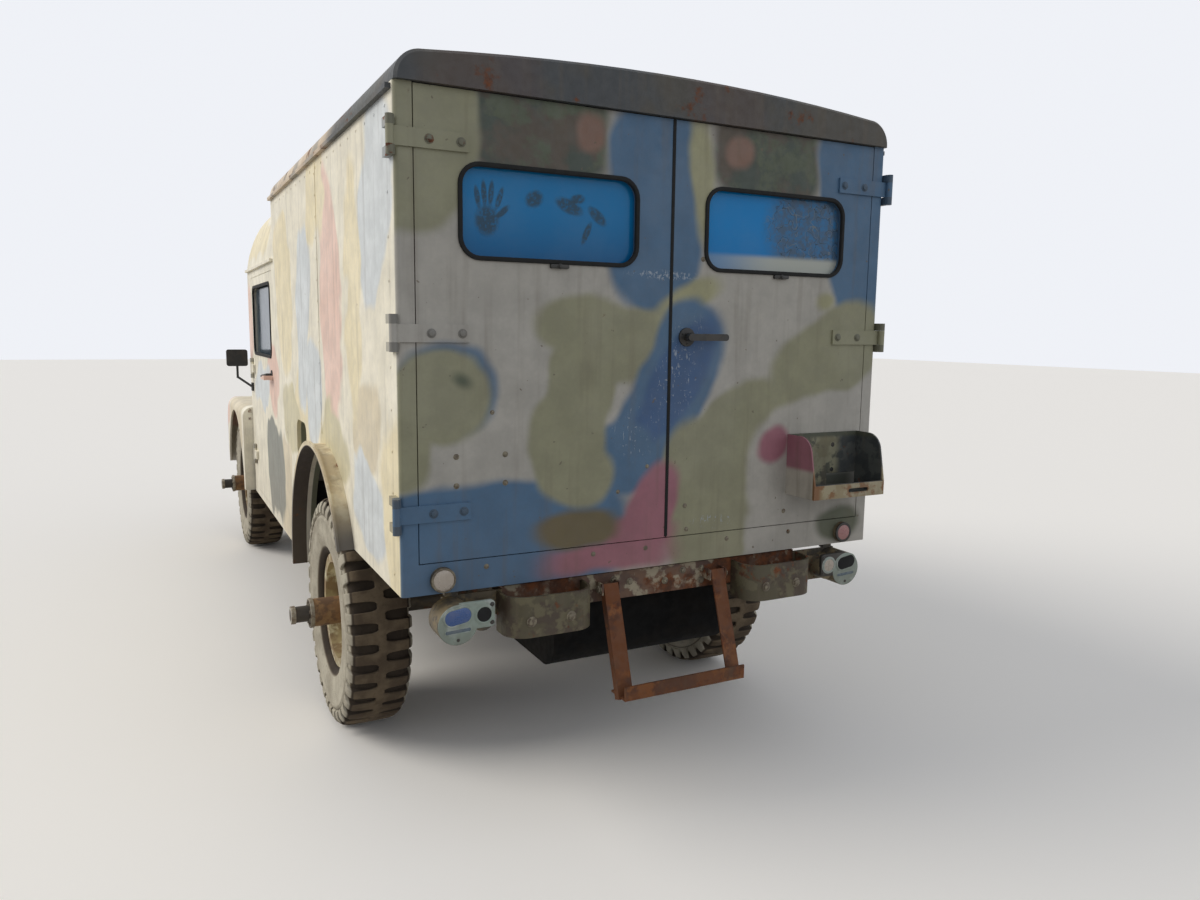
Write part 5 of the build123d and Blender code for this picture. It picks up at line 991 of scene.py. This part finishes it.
def make_carrier_details():
    """The tray's rolled edge, and the dark sockets of the bolts that hold its back plate."""
    low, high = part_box("can_carrier")
    inset, bead, curve, lip = 0.003, 0.0026, 0.062, 0.048
    ends = [(x, low.y + inset, low.z + lip) for x in (low.x + inset, high.x - inset)]
    parts = [(add_tube, ends, bead, 8)]
    for end in ends:
        edge = [(end[0], REAR_FACE - 0.004, high.z - 0.002)]
        for step in range(6):
            angle = math.radians(90 * step / 5)
            back, up = 0.056 + curve * math.sin(angle), 0.064 - curve * math.cos(angle)
            edge.append((end[0], REAR_FACE - back, high.z - up))
        parts.append((add_tube, edge + [end], bead, 8))
    make_piece("carrier_bead", "rear_door_right", "black_metal", "black_paint", parts)
    places = [(low.x + x, REAR_FACE - 0.004, low.z + z) for x in (0.05, 0.2) for z in (0.075, 0.165)]
    bolts("carrier_bolts", "rear_door_right", "rear", places, 0.011, 0.004, material="black_metal")


# Rear lamps and bumper
TAIL = {"across": 0.729, "up": 0.706, "radius": 0.06, "oval_lift": 0.025, "slot_drop": 0.018}
SMALL_LAMP = {"across": 0.65, "lift": 0.022, "radius": 0.0225, "neck": 0.034}
OVAL_TURN = 9                # degrees
SLOT_TURN = 3
REFLECTOR = {"across": 0.755, "up": 0.829, "radius": 0.037, "face": 0.012}


def make_tail_lamp_faces():
    """A pale plate over both lamps of a side, with an oval lens, a slot below it and a small round lamp."""
    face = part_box("tail_lamps")[0].y
    for name, side, around, big, small in (
            ("left", -1, "lamp_paint", "blue_lens", "seal_rubber"),
            ("right", 1, "black_metal", "seal_rubber", "pale_lens")):
        x, z = side * TAIL["across"], TAIL["up"]
        across, up = side * SMALL_LAMP["across"], z + SMALL_LAMP["lift"]
        edge = across - side * SMALL_LAMP["neck"]
        disc, button = seat("rear", x, face + 0.002, z), seat("rear", across, face + 0.001, up)
        neck = seat("rear", (x + edge) / 2, face + 0.002, up)
        oval = seat("rear", x, face - 0.001, z + TAIL["oval_lift"], OVAL_TURN)
        gap = seat("rear", x, face - 0.001, z - TAIL["slot_drop"], SLOT_TURN)
        eye = [(add_disc, seat("rear", across, face - 0.001, up), SMALL_LAMP["radius"], 0.003, 0.0015, 28)]
        if side > 0:
            eye += [(add_plate, seat("rear", across, face - 0.004, up, turn), 0.036, 0.004, 0.0015, 0.0015)
                    for turn in (0, 90)]
        for part, material, slot, parts in (
                ("plate", "lamp_paint", "lamp_body", [
                    (add_disc, disc, TAIL["radius"] - 0.0005, 0.004, 0.0015, 40),
                    (add_disc, button, 0.031, 0.004, 0.001, 32)]),
                ("neck", around, "lamp_body", [
                    (add_plate, neck, abs(x - edge), 0.08, 0.012, 0.0035, 0.001, 0.008)]),
                ("rims", "lamp_paint", "lamp_body", [
                    (add_ring, oval, 0.09, 0.056, 0.0272, 0.006, 0.004),
                    (add_ring, gap, 0.082, 0.016, 0.0075, 0.003, 0.0025),
                    (add_ring, eye[0][1], 0.054, 0.054, 0.0265, 0.005, 0.004)]),
                ("oval", big, "lamp_glass", [(add_plate, oval, 0.08, 0.046, 0.0222, 0.004, 0.0025)]),
                ("slot", "slot_glass", "lamp_glass", [(add_plate, gap, 0.077, 0.011, 0.005, 0.0012, 0.0005)]),
                ("eye", small, "lamp_glass", eye)):
            make_piece(f"tail_lamp_{part}_{name}", "truck", material, slot, parts, 50)
        screws = [(edge + side * 0.009, face - 0.0015, up + lift) for lift in (-0.027, 0.027)]
        screws.append((x, face - 0.001, z - 0.045))
        bolts(f"tail_lamp_screws_{name}", "truck", "rear", screws, 0.0052, 0.003,
              material="black_metal", slot="lamp_body")


def make_reflectors():
    """A round lens in a rim at each lower corner, wide and black at the right."""
    diameter = 2 * REFLECTOR["radius"] - 0.001
    for name, side, lens, rim, width in (
            ("left", -1, "pale_lens", "bolt_steel", 0.006), ("right", 1, "red_lens", "black_metal", 0.01)):
        place = seat("rear", side * REFLECTOR["across"], REAR_FACE - REFLECTOR["face"], REFLECTOR["up"])
        make_piece(f"reflector_lens_{name}", "truck", lens, "lamp_glass",
                   [(add_disc, place, 0.032, 0.004, 0.003, 32)], 50)
        make_piece(f"reflector_rim_{name}", "truck", rim, "hinge_steel",
                   [(add_ring, place, diameter, diameter, diameter / 2 - 0.001, width, 0.005)], 50)


def make_bumper_details():
    """Bolts on the bumperettes and the rear cross member, and the pins the step swings on."""
    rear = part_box("rear_bumperettes")[0].y
    middle, pin = 0.433, 0.241
    places = [(side * middle + x, rear, 0.69) for side in (-1, 1) for x in (-0.075, 0.055)]
    bolts("bumperette_bolts", "truck", "rear", places, 0.012, 0.008, False)
    places = [(x, z) for x in (-0.175, 0.165) for z in (0.71, 0.75)]
    places += [(-0.115, 0.738), (0.02, 0.724), (0.09, 0.752)]
    places = [(x, REAR_FACE + 0.03, z) for x, z in places]
    bolts("cross_member_bolts", "truck", "rear", places, 0.009, 0.006, False)
    make_piece("step_pin_heads", "rear_step", "bolt_steel", "rusty_steel", [
        (add_bolt, seat(facing, side * pin, REAR_FACE, 0.735), 0.011, 0.007, False)
        for facing, side in SIDES])


# Sides, cab and front
WINDSCREEN = REAR_FACE + 3.67
PANE = {"across": 0.41, "up": 1.61, "wide": 0.776, "tall": 0.426}          # of the windscreen
CAB_WINDOW = {"along": REAR_FACE + 3.01, "up": 1.5825, "wide": 0.796, "tall": 0.411}
CAB_CORNER = 0.053
CAB_RUBBER = 0.018
HEAD_LAMP = {"across": 0.68, "up": 0.9, "radius": 0.095}
WIPER = {"across": 0.36, "up": 1.845}


def make_cab_window_rubbers():
    """Rubbers round the cab doors' windows and the two panes of the windscreen."""
    for name, side in SIDES:
        window = seat(name, side * BODY_HALF, CAB_WINDOW["along"], CAB_WINDOW["up"])
        make_piece(f"cab_window_rubber_{name}", f"cab_door_{name}", "seal_rubber", "rubber", [
            (add_ring, window, CAB_WINDOW["wide"], CAB_WINDOW["tall"], CAB_CORNER, CAB_RUBBER, 0.005)], 70)
    panes = [seat("front", side * PANE["across"], WINDSCREEN, PANE["up"]) for side in (-1, 1)]
    make_piece("windscreen_rubbers", "truck", "seal_rubber", "rubber", [
        (add_ring, pane, PANE["wide"], PANE["tall"], CAB_CORNER, CAB_RUBBER, 0.006) for pane in panes], 70)


def make_cab_door_handles():
    """A round plate and a bent grip on each cab door."""
    y, z = REAR_FACE + 2.64, 1.29
    bends = (
        # out from the door, forward, up
        (0, 0, 0), (0.03, 0, 0), (0.04, 0.012, -0.004), (0.042, 0.06, -0.008), (0.041, 0.105, -0.012))
    for name, side in SIDES:
        grip = [(side * (BODY_HALF + out), y + forward, z + up) for out, forward, up in bends]
        make_piece(f"cab_door_handle_{name}", f"cab_door_{name}", "black_metal", "black_paint", [
            (add_disc, seat(name, side * BODY_HALF, y, z), 0.026, 0.005, 0.002, 24), (add_tube, grip, 0.008)])


def make_side_seams():
    """The cover strip on each side's panel joint, and rivets along it, under the gutter and at the rear."""
    seam = REAR_FACE + 1.19
    for name, side in SIDES:
        wall = side * BODY_HALF
        make_piece(f"side_seam_{name}", "truck", "side_paint", "body_paint",
                   [(add_plate, seat(name, wall, seam, 1.65), 0.018, 1.04, 0.002, 0.002, 0.0006)])
        rivets = [(wall + side * 0.002, seam, 1.17 + 0.08 * step) for step in range(13)]
        rivets += [(wall, REAR_FACE + 0.09 + 0.12 * step, 2.15) for step in range(19)]
        rivets += [(wall, REAR_FACE + 0.075, 0.84 + 0.12 * step) for step in range(11)]
        bolts(f"side_rivets_{name}", "truck", name, rivets, 0.0045, 0.002,
              material="side_paint", slot="body_paint")


def make_arch_shade_sheets():
    """Near-black curved sheets that carry each wheel housing on below the floor, ahead of the wheel and
    behind it: painted shade, for the dark under the body past the tyre.
    """
    gap = 0.004
    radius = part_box("wheel_housings")[1].z - ARCH["up"] - gap
    floor, skirt, sill = (math.asin((up + gap - ARCH["up"]) / radius)
                          for up in (ARCH["floor"], ARCH["skirt"], REAR_SILL))
    bm = bmesh.new()
    for side in (-1, 1):
        for start, end in ((skirt, floor), (math.pi - floor, math.pi - sill)):
            y, z = ARCH["y"] + radius * math.cos(start), ARCH["up"] + radius * math.sin(start)
            ends = [bm.verts.new((side * across, y, z)) for across in (SHADE_SHEET_FROM, INSIDE - 0.001)]
            bmesh.ops.spin(bm, geom=ends + [bm.edges.new(ends)], cent=(0, ARCH["y"], ARCH["up"]),
                           axis=(1, 0, 0), dvec=(0, 0, 0), angle=end - start, steps=12, use_merge=False,
                           use_duplicate=False)
    bmesh.ops.recalc_face_normals(bm, faces=bm.faces)
    bmesh.ops.solidify(bm, geom=bm.faces[:] + bm.edges[:] + bm.verts[:], thickness=0.002)
    finish_piece("arch_shade_sheets", bm, "truck", "tank_paint", "chassis")


WHEELS = [
    # name, side, its axle's place
    (f"{end}_{name}", side, y)
    for end, y in (("front", FRONT_AXLE), ("rear", REAR_AXLE))
    for name, side in SIDES
]
LUGS = 36                    # in each of a tyre's two rows, which are half a pitch apart
PITCH_STEPS = 10             # steps of the spin for a lug and its groove
GROOVE_STEPS = 4             # of them for the groove
RIB_HALF = 0.013             # half of the rib that runs round the middle of the tread
TYRE_PROFILE = (
    # across from the middle, radius, then where lugs are: how far they stand out across and in radius,
    # and half the groove in steps
    (0.0, 0.429, 0.0, 0.015, 0.0),
    (RIB_HALF, 0.429, 0.0, 0.015, 1.2),
    (0.02, 0.4288, 0.0, 0.015, 1.9),
    (0.034, 0.4284, 0.0, 0.0152, 2.3),
    (0.056, 0.4274, 0.0, 0.0158, 2.45),
    (0.076, 0.425, 0.0, 0.017, 2.5),
    (0.091, 0.419, 0.0014, 0.0196, 2.5),
    (0.1, 0.408, 0.007, 0.019, 2.45),
    (0.105, 0.396, 0.01, 0.013, 2.2),
    (0.108, 0.384, 0.008, 0.004, 1.6),
    (0.1095, 0.376),
    (0.115, 0.37),
    (0.1155, 0.363),
    (0.1115, 0.356),
    (0.1145, 0.325),
    (0.113, 0.29),
    (0.106, 0.258),
    (0.094, 0.237),
    (0.079, 0.2265),
)


def steps_past_groove(index, side):
    """How many steps a place round the tyre is from the middle of the nearest groove on its side."""
    count = index - GROOVE_STEPS / 2 + (0 if side > 0 else PITCH_STEPS / 2)
    return (count + PITCH_STEPS / 2) % PITCH_STEPS - PITCH_STEPS / 2


def narrow_groove(steps, half_groove):
    """Moves a place round the tyre so that the groove beside it is half_groove steps to each side."""
    if not half_groove:
        return steps
    half, half_pitch = GROOVE_STEPS / 2, PITCH_STEPS / 2
    if abs(steps) <= half:
        return steps * half_groove / half
    share = (abs(steps) - half) / (half_pitch - half)
    return math.copysign(half_groove + share * (half_pitch - half_groove), steps)


def make_tyre():
    """A tyre about the X axis: a spun carcass, with the lugs and the middle rib extruded from its tread."""
    bm = bmesh.new()
    outline = [(-row[0], row[1]) for row in reversed(TYRE_PROFILE[1:])] + [row[:2] for row in TYRE_PROFILE]
    verts = [bm.verts.new((across, 0.0, radius)) for across, radius in outline]
    edges = [bm.edges.new(pair) for pair in zip(verts, verts[1:] + verts[:1])]
    steps = LUGS * PITCH_STEPS
    bmesh.ops.spin(bm, geom=verts + edges, cent=(0, 0, 0), axis=(1, 0, 0), dvec=(0, 0, 0), angle=math.tau,
                   steps=steps, use_merge=True, use_duplicate=False)
    bmesh.ops.remove_doubles(bm, verts=bm.verts, dist=1e-5)
    one_step = math.tau / steps
    lug_from = min(row[1] for row in TYRE_PROFILE if len(row) > 2)

    raised = []
    for face in bm.faces:
        middle = face.calc_center_median()
        radius = math.hypot(middle.y, middle.z)
        if radius < lug_from:
            continue
        past = steps_past_groove(math.atan2(middle.y, middle.z) / one_step, middle.x)
        if abs(middle.x) < RIB_HALF or abs(past) > GROOVE_STEPS / 2:
            raised.append(face)
    made = bmesh.ops.extrude_face_region(bm, geom=raised)["geom"]
    lifted = {item for item in made if isinstance(item, bmesh.types.BMVert)}
    caps = {item for item in made if isinstance(item, bmesh.types.BMFace)}

    rows = {(round(row[0], 4), round(row[1], 4)): row for row in TYRE_PROFILE}
    for vert in bm.verts:
        x, y, z = vert.co
        radius = math.hypot(y, z)
        row = rows[(round(abs(x), 4), round(radius, 4))]
        stand_across, stand_radius, half_groove = row[2:] or (0.0, 0.0, 0.0)
        index = round(math.atan2(y, z) / one_step)
        past = steps_past_groove(index, x)
        turn = (index + narrow_groove(past, half_groove) - past) * one_step
        if vert in lifted:
            x += math.copysign(stand_across, x)
            radius += stand_radius
        vert.co = (x, radius * math.sin(turn), radius * math.cos(turn))
    rims = [edge for cap in caps for edge in cap.edges if sum(face in caps for face in edge.link_faces) == 1]
    bevel_edges(bm, set(rims), 0.0032, 2)
    return bm


def make_tyres():
    first = make_tyre()
    shape = bpy.data.meshes.new("tyre_shape")
    first.to_mesh(shape)
    first.free()
    for name, side, y in WHEELS:
        bm = bmesh.new()
        bm.from_mesh(shape)
        bmesh.ops.translate(bm, vec=(side * WHEEL_MIDDLE, y, AXLE_UP), verts=bm.verts)
        tyre = finish_piece(f"lugged_tyre_{name}", bm, f"wheel_{name}", "tyre_rubber", "rubber", 48)
        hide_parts(f"tyre_{name}")
    bpy.data.meshes.remove(shape)


def round_wheel(facing, x, y, radius, count):
    """Seats set evenly round a wheel's axis."""
    turns = [math.tau * (index + 0.5) / count for index in range(count)]
    return [seat(facing, x, y + radius * math.sin(turn), AXLE_UP + radius * math.cos(turn)) for turn in turns]


def make_wheel_details():
    """Nuts on each wheel's disc, a steel ring round the hub's end, and a bright band round the cap's end."""
    for name, side, y in WHEELS:
        facing = "left" if side < 0 else "right"
        parts = []
        for place in round_wheel(facing, side * (WHEEL_MIDDLE + 0.03), y, 0.131, 5):
            parts.append((add_disc, place, 0.016, 0.004, 0.001, 16))
            parts.append((add_disc, above(place, 0.004), 0.0125, 0.014, 0.002, 6, 0.94))
        for place in round_wheel(facing, side * (HUB_END + 0.0015), y, 0.042, 8):
            parts.append((add_disc, place, 0.0065, 0.005, 0.001, 6, 0.94))
        make_piece(f"wheel_nuts_{name}", f"wheel_{name}", "bolt_steel", "wheel_paint", parts)
        make_piece(f"hub_rings_{name}", f"wheel_{name}", "bright_steel", "wheel_paint", [
            (add_ring, seat(facing, side * x, y, AXLE_UP), wide, wide, wide / 2 - 0.0005, 0.006, proud)
            for x, wide, proud in ((HUB_END - 0.008, 0.116, 0.011), (CAP_END + 0.004, 0.07, 0.013))], 50)


def make_headlamp_rims():
    """A black ring round each head lamp's lens."""
    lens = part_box("head_lamps")[1].y - 0.012
    wide, corner = 2 * HEAD_LAMP["radius"], HEAD_LAMP["radius"] - 0.001
    lamps = [seat("front", side * HEAD_LAMP["across"], lens, HEAD_LAMP["up"]) for side in (-1, 1)]
    make_piece("headlamp_rims", "truck", "black_metal", "lamp_body", [
        (add_ring, lamp, wide, wide, corner, 0.012, 0.01) for lamp in lamps], 50)


def make_hood_latches():
    """Two latches on each side of the hood, whose sides draw in towards the front."""
    hood_from, hood_to, wide, narrow = 3.765, 4.77, 0.561, 0.431
    bends = ((0, 1.185), (0.016, 1.18), (0.018, 1.15), (0.014, 1.138))
    parts = []
    for facing, side in SIDES:
        for along in (4.02, 4.48):
            share = (along - hood_from) / (hood_to - hood_from)
            x, y = side * (wide - (wide - narrow) * share), REAR_FACE + along
            parts.append((add_plate, seat(facing, x, y, 1.16), 0.03, 0.05, 0.006, 0.006, 0.001, 0.004))
            parts.append((add_tube, [(x + side * out, y, z) for out, z in bends], 0.004, 8))
    make_piece("hood_latches", "hood", "black_metal", "black_paint", parts)


def make_wipers():
    """A spindle, arm and blade on each pane of the windscreen."""
    tubes = (
        # radius, bends: across, ahead of the windscreen, up
        (0.0035, ((WIPER["across"], 0.012, WIPER["up"]), (0.37, 0.018, 1.75), (0.39, 0.014, 1.62))),
        (0.005, ((0.37, 0.01, 1.76), (0.41, 0.01, 1.5))),
    )
    parts = []
    for side in (-1, 1):
        spindle = seat("front", side * WIPER["across"], WINDSCREEN, WIPER["up"])
        parts.append((add_disc, spindle, 0.016, 0.016, 0.003, 18))
        for radius, bends in tubes:
            points = [(side * across, WINDSCREEN + ahead, up) for across, ahead, up in bends]
            parts.append((add_tube, points, radius, 8))
    make_piece("wipers", "truck", "black_metal", "black_paint", parts)


def make_spring_bolts():
    """U-bolts that hold each spring on its axle."""
    half, bend_from, low = 0.037, 0.566, 0.478
    turns = [math.pi * step / 8 for step in range(9)]
    bends = [(half, low)] + [(half * math.cos(turn), bend_from + 0.012 * math.sin(turn)) for turn in turns]
    bends.append((-half, low))
    make_piece("spring_u_bolts", "truck", "axle_paint", "chassis", [
        (add_tube, [(x + across, y + along, up) for across, up in bends], 0.006, 8)
        for y in (REAR_AXLE, FRONT_AXLE) for x in (-0.38, 0.38) for along in (-0.052, 0.052)])


# Seats. The shares are of half the width, and of the height at the cushion's middle
CHANNEL_AT = 0.36
CHANNEL_HALF = 0.05
CHANNEL_DEEP = 0.1
EDGE_HEIGHT = 0.82
SEAM_PULL = 0.035


def make_cushion(name, centre, size, lean=0.0):
    """A stuffed cushion: crowned on its faces, pulled in along a piped seam, with two sewn channels."""
    bm = bmesh.new()
    bmesh.ops.create_cube(bm, size=1.0)
    bmesh.ops.subdivide_edges(bm, edges=bm.edges[:], cuts=11, use_grid_fill=True)
    for vert in bm.verts:
        across, deep, high = (2 * value for value in vert.co)
        crown = (1 - across**4) * (1 - deep**4)
        pull = 1 - SEAM_PULL * (across * deep) ** 2
        channel = sum(math.exp(-((across - line) / CHANNEL_HALF) ** 2) for line in (-CHANNEL_AT, CHANNEL_AT))
        rise = EDGE_HEIGHT + (1 - EDGE_HEIGHT) * crown - (CHANNEL_DEEP * channel if high > 0.9 else 0)
        vert.co = Vector((across * size[0] * pull, deep * size[1] * pull, high * size[2] * rise)) / 2
    rim = [edge for edge in bm.edges if edge.calc_face_angle(0.0) > math.radians(60)]
    bevel_edges(bm, rim, min(size) * 0.16, 3)
    leaning = Matrix.Translation(centre) @ Matrix.Rotation(math.radians(lean), 4, "X")
    bmesh.ops.transform(bm, matrix=leaning, verts=bm.verts)
    piece = finish_piece(name, bm, "truck", "canvas", "seat_cover", 80)
    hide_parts("seats")


def make_seats():
    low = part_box("seats")[0].z
    for name, side in SIDES:
        x = side * 0.42
        make_cushion(f"seat_cushion_{name}", (x, REAR_FACE + 2.822, low + 0.055), (0.452, 0.44, 0.108))
        make_cushion(f"seat_back_{name}", (x, REAR_FACE + 2.545, low + 0.335), (0.452, 0.48, 0.086), 90)


# The studio
CAMERA_PLACE = (-1.4992, -4.8485, 1.5501)
CAMERA_YAW = 0.47817         # to the right of +Y
CAMERA_PITCH = 0.134485      # downward
CAMERA_ROLL = 0.012793
FOCAL_PIXELS = 884.33
PHOTO_WIDE = 1200
FLOOR_SEEN = (252, 250, 246)
FLOOR_LIT = (150, 146, 140)
TRUCK_MIDDLE = Vector((0, 0, 1.2))
LIGHTS = (
    # name, place, how wide it looks from the truck in degrees, strength, colour
    ("key", (-6.0, 3.0, 5.5), 35.0, 1.7, (1.0, 0.95, 0.87)),
    ("fill", (3.0, -6.0, 4.0), 60.0, 0.35, (0.94, 0.97, 1.0)),
)


def make_camera():
    camera = bpy.data.cameras.new("camera")
    camera.sensor_width = 36.0
    camera.lens = camera.sensor_width * FOCAL_PIXELS / PHOTO_WIDE
    turn = (Matrix.Rotation(-CAMERA_YAW, 4, "Z") @ Matrix.Rotation(math.pi / 2 - CAMERA_PITCH, 4, "X")
            @ Matrix.Rotation(CAMERA_ROLL, 4, "Z"))
    holder = bpy.data.objects.new("camera", camera)
    holder.matrix_world = Matrix.Translation(CAMERA_PLACE) @ turn
    bpy.context.scene.collection.objects.link(holder)
    bpy.context.scene.camera = holder


def seen_ray(tree):
    """1 where the floor or the background is seen, straight or in metal or glass, and 0 where it lights."""
    rays = node(tree, "LightPath")
    seen = rays["Is Camera Ray"].maths("MAXIMUM", rays["Is Glossy Ray"])
    return seen.maths("MAXIMUM", rays["Is Transmission Ray"])


def make_floor():
    bm = bmesh.new()
    bmesh.ops.create_grid(bm, x_segments=1, y_segments=1, size=40.0)
    floor = new_object("studio_floor", bm)
    material, tree = surface("studio_floor", {"Specular IOR Level": 0.1})
    floor.data.materials.append(dress(material, blend(seen_ray(tree), FLOOR_LIT, FLOOR_SEEN), 0.9))


def make_light(name, place, spread, strength, colour):
    """A distant soft lamp that shines at the truck's middle."""
    light = bpy.data.lights.new(name, "SUN")
    light.angle = math.radians(spread)
    light.energy = strength
    light.color = colour
    holder = bpy.data.objects.new(name, light)
    aim = (TRUCK_MIDDLE - Vector(place)).to_track_quat("-Z", "Y").to_matrix().to_4x4()
    holder.matrix_world = Matrix.Translation(place) @ aim
    bpy.context.scene.collection.objects.link(holder)


def make_world():
    world = bpy.data.worlds.new("studio")
    bpy.context.scene.world = world
    world.use_nodes = True
    tree = world.node_tree
    tree.nodes.clear()
    strength = blend_value(seen_ray(tree), 0.5, 0.93)
    back = node(tree, "Background", {"Color": (0.93, 0.95, 1.0, 1.0), "Strength": strength})
    node(tree, "OutputWorld", {0: back[0]})


def make_studio():
    make_camera()
    make_floor()
    for light in LIGHTS:
        make_light(*light)
    make_world()
    bpy.context.scene.view_settings.view_transform = "Standard"


make_rear_window_details()
make_rear_door_seals_and_shade_line()
make_rear_door_fasteners()
make_handle_escutcheon()
make_carrier_details()
make_tail_lamp_faces()
make_reflectors()
make_bumper_details()
make_cab_window_rubbers()
make_cab_door_handles()
make_side_seams()
make_arch_shade_sheets()
make_tyres()
make_wheel_details()
make_headlamp_rims()
make_hood_latches()
make_wipers()
make_spring_bolts()
make_seats()
make_studio()
